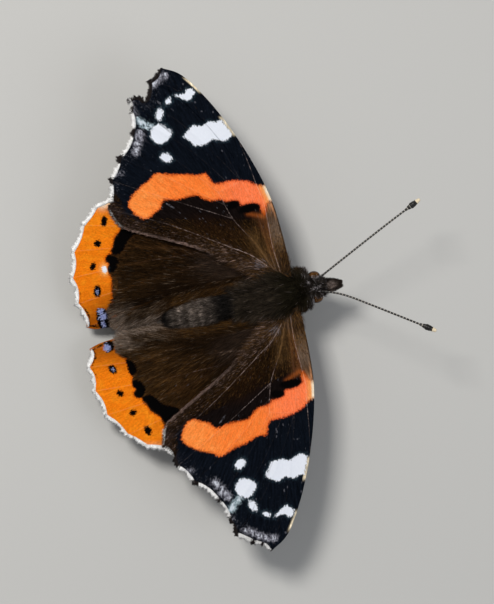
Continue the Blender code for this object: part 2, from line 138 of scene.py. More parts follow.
def map_spot(u, v):
    """A spot of a piece's own map for two shares from 0 to 1, kept just inside the map's border."""
    return np.stack([0.01 + 0.98 * u, 0.01 + 0.98 * v], -1)


def put(name, shape, material, replaces=(), notes=None, spots=None, in_world=False):
    """Shows points and faces as a piece, with its notes, map and material, and hides the solids it stands
    for.
    """
    mesh = make_mesh(name, *shape, in_world=in_world)
    keep_notes(mesh, **(notes or {}))
    if spots is not None:
        keep_patches(mesh, spots)
    mesh.materials.append(material)
    piece = bpy.data.objects.new(name, mesh)
    bpy.context.scene.collection.objects.link(piece)
    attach(piece, "root")
    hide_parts(*replaces)
    print(f"{name}: {len(mesh.vertices)} points, {len(mesh.polygons)} faces")


def grid_quads(rows, columns, first=0, closed=False):
    """Faces between neighbouring rows of points. A closed grid also joins its last column to its first."""
    row = np.arange(rows - 1)[:, None] * columns
    here = np.arange(columns if closed else columns - 1)[None, :]
    there = (here + 1) % columns
    corners = [row + here, row + columns + here, row + columns + there, row + there]
    return first + np.stack(corners, -1).reshape(-1, 4)


# %% [markdown]
# Curves come next. A line through a few given points is made smooth with Catmull-Rom's rule, which
# passes through every point, and then resampled at even steps of its own length. A tube is a circle
# carried along such a line: two directions across the line are worked out at every point, and the circle
# is drawn in them.

# %% Lines and tubes
def smooth_line(points, step=0.5, closed=False):
    """The Catmull-Rom curve through the given points, at steps of about the given length."""
    p = np.asarray(points, float)
    p = np.vstack([p[-1], p, p[:2]]) if closed else np.vstack([2 * p[0] - p[1], p, 2 * p[-1] - p[-2]])
    pieces = []
    for a, b, c, d in zip(p, p[1:], p[2:], p[3:]):
        count = max(1, round(float(np.linalg.norm(c - b)) / step))
        t = (np.arange(count) / count)[:, None]
        square, cube = 2 * a - 5 * b + 4 * c - d, 3 * b - a - 3 * c + d
        pieces.append(0.5 * (2 * b + (c - a) * t + square * t**2 + cube * t**3))
    return np.vstack(pieces) if closed else np.vstack([*pieces, p[-2:-1]])


def run_of(line):
    """The length of a line from its start to each of its points."""
    return np.concatenate([[0], np.cumsum(np.linalg.norm(np.diff(line, axis=0), axis=1))])


def read_at(at, run, table):
    """Every column of a table whose rows stand at the places run, read at other places by straight lines."""
    return np.stack([np.interp(at, run, column) for column in table.T], 1)


def evenly(line, count):
    """The same line at so many points, all one step of length apart."""
    run = run_of(line)
    return read_at(np.linspace(0, run[-1], count), run, line)


def tube_points(line, radii, sides=12, up=(0, 0, 1)):
    """Point (i, a) = line(i) + radius(i) · (cos a · across(i) + sin a · over(i)), square to the line."""
    along = unit(np.gradient(line, axis=0))
    across = unit(np.cross(up, along))
    over = np.cross(along, across)
    angle = np.linspace(0, 2 * math.pi, sides, endpoint=False)
    circle = np.cos(angle)[None, :, None] * across[:, None] + np.sin(angle)[None, :, None] * over[:, None]
    return line[:, None] + circle * np.asarray(radii, float).reshape(-1, 1, 1)


def square_to(along, turn, up=(0, 0, 1)):
    """cos(turn) · across + sin(turn) · over: a direction for each root, square to the line it's on."""
    across = unit(np.cross(up, along))
    return np.cos(turn)[:, None] * across + np.sin(turn)[:, None] * np.cross(along, across)


def tube_spots(rows, sides):
    """A closed tube's own map: along it one way and round it the other, with its two ends last."""
    share = np.repeat(np.linspace(0.02, 0.98, rows), sides)
    around = np.tile(np.arange(sides) / sides, rows)
    return np.vstack([np.stack([share, around], 1), [[0.02, 0.5], [0.98, 0.5]]])


def closed_grid(points, first=0):
    """Closes a tube-like grid (rows, around) with a point at either end: points, quads and triangles."""
    rows, around = points.shape[:2]
    ends = np.stack([points[0].mean(0), points[-1].mean(0)])
    flat = np.vstack([points.reshape(-1, 3), ends])
    here = np.arange(around)
    there = (here + 1) % around
    start, end = first + rows * around, first + rows * around + 1
    last = first + (rows - 1) * around
    quads = grid_quads(rows, around, first, closed=True)[:, ::-1]
    caps = np.vstack([
        np.stack([np.full(around, start), first + there, first + here], 1),
        np.stack([np.full(around, end), last + here, last + there], 1),
    ])
    return flat, quads, caps


def joined(parts):
    """Several (points, quads, triangles, …) in one: face numbers are moved on and the rest is stacked."""
    first = np.cumsum([0] + [len(part[0]) for part in parts])
    faces = [np.vstack([part[k] + start for part, start in zip(parts, first)]) for k in (1, 2)]
    rest = [np.concatenate([part[k] for part in parts]) for k in range(3, len(parts[0]))]
    return np.vstack([part[0] for part in parts]), *faces, *rest


# %% [markdown]
# Shaders are sums too. The class below wraps one output of a material's nodes, so a mask can be written
# as 1 - edge * noise and each operator adds its Math node. Every other node comes from its one method,
# which takes the node's kind, then its settings, then the value or link of each socket.

# %% A small language for shaders
class Paint:
    """One output inside a material. Operators add Math nodes; the method node adds any other kind."""

    def __init__(self, tree, socket=None):
        self.tree = tree
        self.socket = socket

    def node(self, kind, settings=None, out=0, **values):
        """Adds a node. A socket is named by its label, or as _0, _1 by its place; out picks the output."""
        made = self.tree.nodes.new("ShaderNode" + kind)
        for name, setting in (settings or {}).items():
            setattr(made, name, setting)
        inputs = [socket for socket in made.inputs if socket.enabled]
        for name, value in values.items():
            label = name.replace("_", " ").strip()
            named = [socket for socket in inputs if socket.name.lower() == label]
            feed(inputs[int(label)] if label.isdigit() else named[0], value)
        outputs = [socket for socket in made.outputs if socket.enabled]
        return Paint(self.tree, outputs[out] if isinstance(out, int) else made.outputs[out])

    def math(self, operation, *values):
        """One Math node with the given operation."""
        return self.node("Math", {"operation": operation}, **{f"_{i}": v for i, v in enumerate(values)})

    def __add__(self, other):
        return self.math("ADD", self, other)

    def __sub__(self, other):
        return self.math("SUBTRACT", self, other)

    def __rsub__(self, other):
        return self.math("SUBTRACT", other, self)

    def __mul__(self, other):
        return self.math("MULTIPLY", self, other)

    def __truediv__(self, other):
        return self.math("DIVIDE", self, other)

    __radd__ = __add__
    __rmul__ = __mul__

    def step(self, low, high):
        """0 below low and 1 above high, with an even curve between."""
        smooth = {"interpolation_type": "SMOOTHSTEP"}
        return self.node("MapRange", smooth, value=self, from_min=low, from_max=high)

    def note(self, name, out="Fac"):
        """A number or vector kept at the mesh's corners."""
        return self.node("Attribute", {"attribute_name": name}, out=out)

    def stretched(self, by):
        """This vector with each of its parts multiplied."""
        return self.node("VectorMath", {"operation": "MULTIPLY"}, _0=self, _1=by)

    def scaled(self, by):
        """This colour or vector times one number."""
        return self.node("VectorMath", {"operation": "SCALE"}, vector=self, scale=by)

    def blend(self, a, b):
        """The colour a where this number is 0, b where it is 1, and a mixture between."""
        return self.node("Mix", {"data_type": "RGBA"}, factor=self, a=a, b=b)

    def under(self, colour, mask):
        """This colour, covered by another where the mask is 1."""
        return mask.blend(self, colour)

    def noise(self, scale, detail=2.0, roughness=0.5):
        """Smooth noise of about 0 to 1, read at this vector."""
        return self.node("TexNoise", vector=self, scale=scale, detail=detail, roughness=roughness)

    def cells(self, scale, out="Color"):
        """A mosaic read at this vector: a random number for each cell, or the distance to its middle."""
        made = self.node("TexVoronoi", vector=self, scale=scale, out=out)
        return made.node("SeparateColor", color=made) if out == "Color" else made


def feed(socket, value):
    """Links a Paint to a socket, or sets the socket's own value."""
    if isinstance(value, Paint):
        value.tree.links.new(value.socket, socket)
    elif socket.type == "RGBA":
        socket.default_value = (*value, 1.0)
    else:
        socket.default_value = value


def start_material(name, **fixed):
    """A new material: the material, a Paint to write it with, and its shader with the fixed values set."""
    material = bpy.data.materials.new(name)
    material.use_nodes = True
    shader = material.node_tree.nodes["Principled BSDF"]
    for key, value in fixed.items():
        shader.inputs[key.replace("_", " ")].default_value = value
    return material, Paint(material.node_tree), shader


def add_bump(shader, height, strength, distance_mm):
    """Raises the surface by a height of 0 to 1 times a distance."""
    bump = height.node("Bump", height=height, strength=strength, distance=distance_mm * MM)
    feed(shader.inputs["Normal"], bump)


# %% [markdown]
# The camera and the lamps come before the pieces, so that each piece can be looked at as soon as it is
# made. The photo looks straight down on the wings with the head turned to the right, so the camera is
# built in the insect's own frame and then tilted with it. A long lens from almost half a metre keeps the
# wings free of perspective. One broad lamp gives the fur and the scales their direction, and a wide,
# weaker one with the pale surroundings fills the shadows. The plain floor is a soft grey, so that the
# white fringe shows against it.

# %% Camera, lamps and floor
VIEW_CENTRE = (-6.48, -0.02, 2.0)
VIEW_TURN = math.radians(13.0)
VIEW_HEIGHT = 81.06
CAMERA_DISTANCE = 450.0
SENSOR = 36.0
FLOOR_COLOUR, FLOOR_SHADE = (0.56, 0.56, 0.55), (0.53, 0.53, 0.52)


def aimed(position, target, up):
    """A matrix at a position whose -Z looks at the target with +Y as near to up as it can be."""
    back = (Vector(position) - Vector(target)).normalized()
    right = Vector(up).cross(back).normalized()
    turn = Matrix((right, back.cross(right), back)).transposed().to_4x4()
    return Matrix.Translation(Vector(position)) @ turn


def make_camera():
    data = bpy.data.cameras.new("camera")
    data.sensor_width = SENSOR
    data.lens = SENSOR * CAMERA_DISTANCE / VIEW_HEIGHT
    data.clip_start = 0.01
    camera = bpy.data.objects.new("camera", data)
    bpy.context.scene.collection.objects.link(camera)
    centre = standing(VIEW_CENTRE) * MM
    above = standing(np.add(VIEW_CENTRE, (0, 0, CAMERA_DISTANCE))) * MM
    up = TILT @ (math.sin(VIEW_TURN), math.cos(VIEW_TURN), 0)
    camera.matrix_world = aimed(above, centre, up)
    bpy.context.scene.camera = camera
    print("lens:", round(data.lens, 1), "mm")


def make_lamp(name, position_mm, size_mm, watts, colour):
    data = bpy.data.lights.new(name, "AREA")
    data.size = size_mm * MM
    data.energy = watts
    data.color = colour
    lamp = bpy.data.objects.new(name, data)
    bpy.context.scene.collection.objects.link(lamp)
    lamp.matrix_world = aimed(np.array(position_mm) * MM, (0, 0, 0.008), (0, 1, 0.1))


def make_studio():
    make_lamp("key_lamp", (-160, 230, 420), 130, 1.95, (1.0, 0.97, 0.92))
    make_lamp("fill_lamp", (330, -300, 330), 380, 0.8, (0.93, 0.96, 1.0))
    world = bpy.data.worlds.new("studio")
    world.use_nodes = True
    world.node_tree.nodes["Background"].inputs["Color"].default_value = (0.95, 0.97, 1.0, 1)
    world.node_tree.nodes["Background"].inputs["Strength"].default_value = 0.25
    bpy.context.scene.world = world
    bpy.context.scene.view_settings.view_transform = "Standard"


def make_floor():
    material, paint, shader = start_material("floor_paper", Roughness=0.9, Specular_IOR_Level=0.2)
    place = paint.node("TexCoord", out="Object")
    cloudy = place.noise(6.0)
    feed(shader.inputs["Base Color"], cloudy.blend(FLOOR_COLOUR, FLOOR_SHADE))
    half = 1500.0
    corners = [(-half, -half, 0), (half, -half, 0), (half, half, 0), (-half, half, 0)]
    mesh = make_mesh("floor", corners, [(0, 1, 2, 3)], in_world=True)
    mesh.materials.append(material)
    floor = bpy.data.objects.new("floor", mesh)
    bpy.context.scene.collection.objects.link(floor)


make_camera()
make_studio()
make_floor()

# %% [markdown]
# The wings carry the likeness. A real wing is a membrane a tenth of a millimetre thick, stiffened by
# veins and tiled with dusty scales. Each one is built here as a patch between four edges: the front edge,
# the outer margin, the inner margin and the root (a Coons patch, which blends the four curves). The patch
# lies on a curved height given by a formula, and the veins rise from it as soft ridges.

# %% The wings' outlines and veins
FORE_COSTA = [
    (0.1, 1.8), (0.25, 4.2), (0.2, 8.0), (-0.15, 12.4), (-1.2, 17.0), (-3.0, 22.2), (-5.3, 27.2),
    (-8.1, 31.5),
]
FORE_TIPS = {
    LEFT: [
        (-10.7, 33.2), (-13.0, 31.8), (-16.2, 30.0), (-16.25, 28.3), (-16.6, 25.8), (-19.1, 22.9),
        (-21.0, 20.2), (-21.95, 16.4),
    ],
    RIGHT: [
        (-10.8, 33.3), (-13.1, 31.8), (-15.3, 30.2), (-15.6, 28.2), (-16.5, 25.2), (-19.2, 22.2),
        (-20.9, 19.6), (-21.95, 16.4),
    ],
}
FORE_DIPS = [0.15, 0.1, 0.2, 0.25, 0.35, 0.25, 0.25]
NOTCH = [(-12.9, 31.2), (-13.25, 30.3), (-13.75, 29.6), (-14.2, 30.15), (-15.1, 30.4)]
FORE_INNER = [
    (-21.1, 14.0), (-19.5, 12.75), (-15.8, 10.8), (-12.0, 8.8), (-8.0, 6.4), (-5.0, 4.1), (-3.6, 1.8),
]
FORE_VEINS = {
    "subcosta": [
        (-1.2, 3.0), (-1.45, 6.4), (-1.35, 9.6), (-1.3, 12.4), (-1.7, 15.0), (-2.1, 18.0), (-2.7, 21.4),
    ],
    "radius": [(-1.7, 3.2), (-2.2, 8.5), (-2.8, 13.0), (-3.6, 16.0), (-5.4, 21.6), (-7.6, 27.6)],
    "radius_fork": [(-7.6, 27.6), (-10.0, 30.4)],
    "media_1": [(-3.6, 16.0), (-7.6, 22.4), (-11.6, 27.3)],
    "media_2": [(-5.0, 15.6), (-9.4, 21.6)],
    "media_3": [(-6.9, 15.2), (-11.6, 20.8)],
    "cell_end": [(-3.6, 16.0), (-5.0, 15.6), (-6.9, 15.2)],
    "cubitus": [(-1.9, 3.3), (-3.6, 7.4), (-5.8, 11.3), (-6.9, 15.2)],
    "cubitus_1": [(-6.4, 13.3), (-12.6, 18.2)],
    "cubitus_2": [(-5.8, 11.3), (-12.4, 15.1)],
    "anal": [(-2.6, 3.9), (-4.6, 6.0), (-6.7, 7.4), (-8.4, 8.6), (-14.6, 12.6)],
}
FORE_VEIN_TIPS = {
    "radius": 0, "radius_fork": 1, "media_1": 2, "media_2": 3,
    "media_3": 4, "cubitus_1": 5, "cubitus_2": 6, "anal": 7,
}
HIND_COSTA = [(-1.3, 1.8), (-1.9, 5.2), (-4.0, 9.5), (-7.5, 13.6), (-11.5, 16.6), (-15.6, 18.2)]
HIND_TIPS = [
    (-19.4, 18.3), (-23.9, 16.75), (-26.1, 14.5), (-28.2, 11.3), (-29.15, 7.8), (-29.3, 4.3),
    (-28.4, 1.45),
]
HIND_DIPS = [0.15, 0.12, 0.25, 0.35, 0.42, 0.3]
HIND_INNER = [
    (-27.2, 1.0), (-24.0, 0.7), (-21.0, 0.35), (-19.0, 0.3), (-17.0, 0.9), (-15.0, 1.5), (-12.0, 1.6),
    (-8.5, 1.6), (-6.3, 1.6),
]
HIND_VEINS = {
    "subcosta": [(-2.6, 3.4), (-5.4, 8.6), (-10.2, 13.6), (-15.6, 18.2)],
    "radius": [(-3.0, 3.3), (-6.6, 7.8), (-12.2, 13.2), (-19.4, 18.3)],
    "media_1": [(-8.9, 9.9), (-16.0, 13.9), (-23.9, 16.75)],
    "media_2": [(-11.2, 10.2), (-18.4, 12.6), (-26.1, 14.5)],
    "media_3": [(-13.2, 8.6), (-20.4, 10.3), (-28.2, 11.3)],
    "cubitus": [(-3.6, 3.2), (-8.0, 5.8), (-13.2, 8.6)],
    "cubitus_1": [(-11.6, 7.7), (-19.6, 8.0), (-29.15, 7.8)],
    "cubitus_2": [(-8.8, 6.3), (-18.4, 5.4), (-29.3, 4.3)],
    "anal": [(-4.4, 3.2), (-11.0, 4.5), (-19.0, 2.9), (-28.4, 1.45)],
}
HIND_OUT = {LEFT: [0, 0.12, 0.28, 0.28, 0.28, 0.08, 0], RIGHT: [0, 0, 0.28, 0.48, 0.48, 0.5, 0.3]}
FRINGE = 0.45
SCALLOP_STEPS = 12
FORE_GRID, HIND_GRID = (200, 150), (170, 130)


def scalloped(tips, dips):
    """From tip to tip along a straight line, bowed in by dip · sin(π f) at the share f between two tips."""
    margin = []
    for a, b, dip in zip(np.array(tips), np.array(tips)[1:], dips):
        inward = np.array([a[1] - b[1], b[0] - a[0]]) / np.linalg.norm(b - a)
        f = (np.arange(SCALLOP_STEPS) / SCALLOP_STEPS)[:, None]
        margin.append(a + (b - a) * f + inward * dip * np.sin(math.pi * f))
    return np.vstack([*margin, [tips[-1]]])


def drawn_in(margin, depth):
    """A margin moved inwards by the depth of the fringe, fading to nothing at both of its ends."""
    run = run_of(margin)
    along = unit(np.gradient(margin, axis=0))
    inward = np.stack([-along[:, 1], along[:, 0]], 1)
    share = smoothstep(run, 0, 1.2) * smoothstep(run[-1] - run, 0, 1.2)
    return margin + inward * (depth * share)[:, None]


def patch(front, margin, inner, root, lengthwise, crosswise):
    """Coons patch: front and inner edge blended across, plus root and margin blended along, less the corners.
    P(u, v) = (1-v)·front(u) + v·inner(u) + (1-u)·root(v) + u·margin(v) - the blend of the corners."""
    front, inner = evenly(front, lengthwise)[:, None], evenly(inner, lengthwise)[:, None]
    root, margin = evenly(root, crosswise)[None], evenly(margin, crosswise)[None]
    u = np.linspace(0, 1, lengthwise)[:, None, None]
    v = np.linspace(0, 1, crosswise)[None, :, None]
    near, far = ((1 - v) * front[end, 0] + v * inner[end, 0] for end in (0, -1))
    corners = (1 - u) * near + u * far
    return (1 - v) * front + v * inner + (1 - u) * root + u * margin - corners


def fore_margin(side):
    margin = scalloped(FORE_TIPS[side], FORE_DIPS)
    if side == LEFT:
        margin = np.vstack([margin[:SCALLOP_STEPS + 1], smooth_line(NOTCH, 0.25), margin[2 * SCALLOP_STEPS:]])
    return margin


def fore_patch(side):
    margin = fore_margin(side)
    front = smooth_line(FORE_COSTA + [tuple(margin[0])])
    inner = smooth_line([tuple(margin[-1])] + FORE_INNER)[::-1]
    root = np.array([front[0], inner[0]])
    return patch(front, drawn_in(margin, FRINGE), inner, root, *FORE_GRID)


def fore_veins(side):
    """The veins, each drawn on to its own tip of that side's margin."""
    tips = FORE_TIPS[side]
    return {name: line + ([tips[FORE_VEIN_TIPS[name]]] if name in FORE_VEIN_TIPS else [])
            for name, line in FORE_VEINS.items()}


def hind_margin(side):
    """Scallops let out at some of the tips: margin + outward · let out, evenly between two tips."""
    margin = scalloped(HIND_TIPS, HIND_DIPS)
    run = run_of(margin)
    along = unit(np.gradient(margin, axis=0))
    outward = np.stack([along[:, 1], -along[:, 0]], 1)
    return margin + outward * np.interp(run, run[::SCALLOP_STEPS], HIND_OUT[side])[:, None]


def hind_patch(side):
    """The front edge takes in the first scallop, so that the patch's corner is the wing's own second tip."""
    margin = drawn_in(hind_margin(side), FRINGE)
    front = np.vstack([smooth_line(HIND_COSTA + [tuple(margin[0])]), margin[1:SCALLOP_STEPS + 1]])
    inner = smooth_line([tuple(margin[-1])] + HIND_INNER)[::-1]
    root = np.array([front[0], inner[0]])
    return patch(front, margin[SCALLOP_STEPS:], inner, root, *HIND_GRID)


# %% [markdown]
# Where a marking begins is measured as a signed distance: how far a point lies inside (+) or outside (-)
# an outline. The shader cuts at zero, so an edge stays crisp at any mesh size, and a little noise added
# before the cut gives it the ragged look of an edge made of single scales. Outlines are short lists of
# points joined smoothly, and round spots are ellipses.

# %% Distances to lines and outlines
def distance_to(points, lines, signed=False):
    """The distance from each point to the nearest line. Signed, it is positive on the line's left side."""
    nearest = np.full(points.shape[:-1], 1e9)
    side = np.ones(points.shape[:-1])
    for line in lines:
        for a, b in zip(line[:-1], line[1:]):
            run = b - a
            t = np.clip(((points - a) @ run) / (run @ run), 0, 1)
            gap = points - a - t[..., None] * run
            away = np.hypot(gap[..., 0], gap[..., 1])
            side = np.where(away < nearest, np.sign(run[0] * gap[..., 1] - run[1] * gap[..., 0]), side)
            nearest = np.minimum(nearest, away)
    return nearest * side if signed else nearest


def inside_by(points, outline):
    """Signed distance to a closed outline: positive inside it, by counting the crossings of a ray."""
    closed = np.vstack([outline, outline[:1]])
    x, y = points[..., 0], points[..., 1]
    crossings = np.zeros(points.shape[:-1], int)
    for a, b in zip(closed[:-1], closed[1:]):
        if a[1] != b[1]:
            spans = (a[1] > y) != (b[1] > y)
            crossings += spans & (x < a[0] + (y - a[1]) / (b[1] - a[1]) * (b[0] - a[0]))
    return distance_to(points, [closed]) * np.where(crossings % 2, 1, -1)


def spots_by(points, spots):
    """Signed distance to a set of ellipses, each one (x, y, half length, half width, turn in degrees)."""
    best = np.full(points.shape[:-1], -9.0)
    for x, y, length, width, turn in spots:
        cos, sin = math.cos(math.radians(turn)), math.sin(math.radians(turn))
        dx, dy = points[..., 0] - x, points[..., 1] - y
        reach = np.hypot((dx * cos + dy * sin) / length, (dy * cos - dx * sin) / width)
        best = np.maximum(best, (1 - reach) * min(length, width))
    return best


def shapes_by(points, outlines):
    """Signed distance to several closed outlines, each joined smoothly."""
    return np.max([inside_by(points, smooth_line(outline, 0.6, closed=True)) for outline in outlines], axis=0)


# %% [markdown]
# All markings are drawn in the plan of the left wings. The right wings repeat them in a mirror, but no
# insect is quite even: their white spots and band lie a little further out, and some of their dots and
# blotches are their own.

# %% The markings, drawn on the left wing
FORE_BAND = [
    (-19.2, 16.0), (-19.0, 16.7), (-18.2, 17.5), (-16.8, 18.45), (-15.6, 18.95), (-14.8, 19.6),
    (-14.2, 19.65), (-12.8, 19.1), (-10.5, 18.6), (-9.0, 18.1), (-8.0, 18.2), (-7.6, 17.4), (-7.1, 16.5),
    (-5.0, 16.45), (-3.4, 16.1), (-2.5, 15.75), (-1.8, 15.2), (-0.9, 14.85), (1.2, 14.8), (1.2, 12.4),
    (-0.35, 12.4), (-0.9, 12.1), (-1.1, 11.3), (-1.45, 10.7), (-1.8, 10.85), (-2.0, 11.5), (-2.0, 12.2),
    (-2.5, 12.6), (-3.5, 12.75), (-4.4, 12.75), (-4.65, 13.3), (-5.4, 13.65), (-6.3, 13.7), (-7.0, 14.2),
    (-8.0, 14.2), (-9.1, 14.7), (-9.9, 15.4), (-12.5, 15.4), (-14.3, 15.7), (-14.9, 14.8), (-16.0, 14.3),
    (-17.0, 13.8), (-18.2, 14.35),
]
FORE_BAR = [
    (-9.8, 23.6), (-9.2, 24.05), (-8.8, 24.4), (-8.1, 24.7), (-7.2, 24.3), (-5.9, 24.75), (-5.2, 24.4),
    (-4.2, 24.6), (-3.2, 23.9), (-2.6, 22.4), (-3.4, 22.3), (-4.2, 21.75), (-5.2, 21.9), (-6.2, 22.3),
    (-7.0, 21.85), (-8.7, 22.0), (-9.1, 22.7),
]
FORE_WEDGE = [
    (-9.9, 29.25), (-8.8, 29.05), (-8.2, 29.2), (-8.0, 29.65), (-7.3, 29.6), (-6.9, 29.0), (-7.3, 28.6),
    (-7.8, 28.0), (-8.7, 28.4),
]
FORE_ROUND = [
    (-14.1, 24.6), (-13.9, 25.2), (-12.6, 25.95), (-11.6, 25.2), (-11.15, 24.3), (-12.2, 23.4),
    (-12.9, 23.2), (-13.8, 23.7),
]
FORE_SPOTS = [(-10.7, 28.62, 0.5, 0.33, 35), (-12.25, 27.12, 0.8, 0.5, 70), (-12.7, 21.28, 0.78, 0.58, -35)]
FORE_BITES = [(-3.45, 12.15, 1.5, 0.52, 3), (-5.4, 13.1, 0.9, 0.5, 15)]
WHITE_SHIFT_RIGHT, BAND_SHIFT_RIGHT = (0.42, -0.27), (0.25, -0.15)
BAND_STRETCH_RIGHT = (1.02, 1.0)
HIND_BAND = [
    (-20.7, 14.2), (-20.9, 13.0), (-21.4, 12.5), (-22.1, 12.0), (-22.2, 11.5), (-22.5, 11.0),
    (-22.9, 10.3), (-22.8, 9.9), (-23.3, 9.85), (-23.85, 9.5), (-23.85, 9.0), (-23.45, 8.65),
    (-23.8, 8.1), (-23.8, 7.5), (-23.65, 6.9), (-23.7, 6.0), (-23.85, 5.1), (-24.0, 4.2), (-24.0, 2.9),
    (-24.1, 1.4), (-24.2, 0.0), (-31.0, -1.0), (-31.5, 8.0), (-29.0, 14.0), (-24.0, 19.0), (-19.5, 19.0),
]
HIND_DOTS = [
    (-23.1, 14.4, 0.72, 0.46, 75), (-24.55, 11.65, 0.52, 0.45, 0), (-25.8, 8.75, 0.5, 0.42, 40),
]
LAST_DOT = {LEFT: (-25.9, 5.4, 0.8, 0.52, 75), RIGHT: (-26.15, 5.35, 0.74, 0.52, 60)}
HIND_SPECK = (-24.35, 8.05, 0.36, 0.46, 0)
HIND_BLOTCHES = [
    [
        (-21.0, 13.0), (-20.4, 14.0), (-18.4, 13.6), (-18.5, 12.2), (-20.0, 11.55), (-20.7, 10.9),
        (-21.3, 10.1), (-21.9, 9.65), (-22.9, 9.9), (-23.0, 10.3), (-22.5, 10.8), (-22.4, 11.3),
        (-22.2, 11.7), (-21.7, 12.2),
    ],
    [
        (-23.6, 9.85), (-23.0, 9.8), (-22.4, 9.3), (-22.2, 8.6), (-22.6, 7.9), (-23.3, 7.35),
        (-23.9, 7.5), (-23.95, 8.1), (-23.5, 8.65), (-24.0, 9.3),
    ],
    [
        (-24.2, 4.3), (-23.6, 4.5), (-23.0, 5.2), (-22.8, 5.9), (-23.1, 6.6), (-23.8, 6.75), (-24.1, 6.2),
        (-24.15, 5.4),
    ],
]
BLOTCH_COUNT = {LEFT: 2, RIGHT: 3}
CORNER_BLACK = {
    LEFT: [
        (-26.5, 3.35), (-25.6, 3.25), (-24.95, 2.7), (-24.85, 1.7), (-25.2, 0.7), (-26.1, 0.5),
        (-26.7, 0.9), (-26.8, 2.1),
    ],
    RIGHT: [(-26.5, 2.6), (-25.6, 2.5), (-25.2, 1.9), (-25.3, 1.1), (-26.6, 1.0), (-26.7, 1.8)],
}
HIND_BLUE = {
    LEFT: [
        (-26.05, 2.95, 0.42, 0.36, 0), (-25.85, 2.3, 0.62, 0.33, 10), (-26.05, 1.35, 0.27, 0.4, 0),
        (-26.0, 5.3, 0.25, 0.13, 75),
    ],
    RIGHT: [(-26.3, 1.85, 0.5, 0.55, 0), (-26.15, 5.4, 0.26, 0.17, 40)],
}
print("fore band outline:", len(FORE_BAND), "points; hind dots:", len(HIND_DOTS))

# %% [markdown]
# Each wing is two copies of its patch, an upper and an under face, closed by a narrow rim. The middle
# surface is the solids' own height formula, moved a little so that the wings lie close over one another
# as real ones do, but still within the solids' thickness. The membrane hangs slightly between the veins.

# %% The wings' height, thickness and ridges
def lattice_noise(u, v, seed):
    """Random numbers from -1 to 1 on the corners of unit squares, blended smoothly between the corners."""
    table = np.random.default_rng(seed).uniform(-1, 1, (64, 64))
    i, j = np.floor(u).astype(int), np.floor(v).astype(int)
    fu, fv = u - i, v - j
    fu, fv = fu * fu * (3 - 2 * fu), fv * fv * (3 - 2 * fv)
    near = table[i % 64, j % 64] * (1 - fv) + table[i % 64, (j + 1) % 64] * fv
    far = table[(i + 1) % 64, j % 64] * (1 - fv) + table[(i + 1) % 64, (j + 1) % 64] * fv
    return near * (1 - fu) + far * fu


FORE_ROOT_Z, FORE_RISE, FORE_SAG, FORE_CAMBER = 0.95, 0.105, 0.0016, 0.003
HIND_ROOT_Z, HIND_RISE, HIND_CAMBER = -0.25, 0.078, 0.0025
HIND_PIVOT = (-3.0, 3.0)
HIND_TURN = math.radians(1.45)
HIND_FAN = math.radians(12.0)
GUTTER_DEPTH, GUTTER_WIDTH = 2.1, 1.15
REAR_DEPTH = 0.8
FORE_LIFT, HIND_LIFT = -0.16, 0.16
HALF_THICK, RIM_THICK = 0.06, 0.02
RIDGE_HEIGHT, RIDGE_WIDTH = 0.07, 0.19
MEMBRANE_SAG = 0.09


def fore_height(xy):
    """Root height + rise · out - sag · out² - camber · (x + 8)², where out is the way from the body."""
    x, out = xy[..., 0], xy[..., 1] - 3.0
    return FORE_ROOT_Z + FORE_LIFT + FORE_RISE * out - FORE_SAG * out**2 - FORE_CAMBER * (x + 8.0) ** 2


def inner_edge(x):
    """How far from the middle plane the hind wing's inner edge lies at places along the body."""
    inner = np.array(HIND_INNER)
    return np.interp(x, inner[:, 0], inner[:, 1])


def hind_height(xy):
    """Root height + rise · (y - 3) - camber · (x + 8)², less the bell of a fold by the inner edge."""
    x, y = xy[..., 0], xy[..., 1]
    beside = np.maximum(y - inner_edge(x), 0)
    depth = GUTTER_DEPTH + (REAR_DEPTH - GUTTER_DEPTH) * smoothstep(-x, 16.0, 20.0)
    fold = depth * bell(beside, GUTTER_WIDTH) * np.clip((-5.0 - x) / 2.0, 0, 1)
    return HIND_ROOT_Z + HIND_LIFT + HIND_RISE * (y - 3.0) - HIND_CAMBER * (x + 8.0) ** 2 - fold


def spread(xy, side):
    """Turns the hind wing about its root, by less and less towards the inner margin."""
    dx, dy = xy[..., 0] - HIND_PIVOT[0], xy[..., 1] - HIND_PIVOT[1]
    share = np.clip((np.arctan2(dy, -dx) + math.radians(5.0)) / HIND_FAN, 0, 1)
    angle = -side * HIND_TURN * share * share * (3 - 2 * share)
    cos, sin = np.cos(angle), np.sin(angle)
    return np.stack([HIND_PIVOT[0] + dx * cos - dy * sin, HIND_PIVOT[1] + dx * sin + dy * cos], -1)


def stay(xy, side):
    """The fore wing's points are drawn where they lie."""
    return xy


def border_of(grid):
    """The numbers of a grid's border points, once round."""
    rows, columns = grid
    numbers = np.arange(rows * columns).reshape(rows, columns)
    return np.concatenate([numbers[:-1, 0], numbers[-1, :-1], numbers[:0:-1, -1], numbers[0, :0:-1]])


def wing_faces(grid, side):
    """Upper faces, under faces turned over, and the rim between. On a right wing, mirrored, all turn."""
    upper = grid_quads(*grid)
    count = grid[0] * grid[1]
    here = border_of(grid)
    there = np.roll(here, -1)
    rim = np.stack([here + count, there + count, there, here], 1)
    quads = np.vstack([upper, upper[:, ::-1] + count, rim])
    return quads if side == LEFT else quads[:, ::-1]


def wing_surface(xy, height, vein, rim):
    """Upper and under height: the middle surface ± half the thickness and the bell of the vein's ridge."""
    half = RIM_THICK + (HALF_THICK - RIM_THICK) * smoothstep(rim, 0, 0.6)
    ridge = RIDGE_HEIGHT * bell(vein, RIDGE_WIDTH) * smoothstep(rim, 0, 0.8)
    middle = height(xy) - MEMBRANE_SAG * smoothstep(vein, 0, 1.5) * smoothstep(rim, 0, 2.0)
    return middle + half + ridge, middle - half - ridge


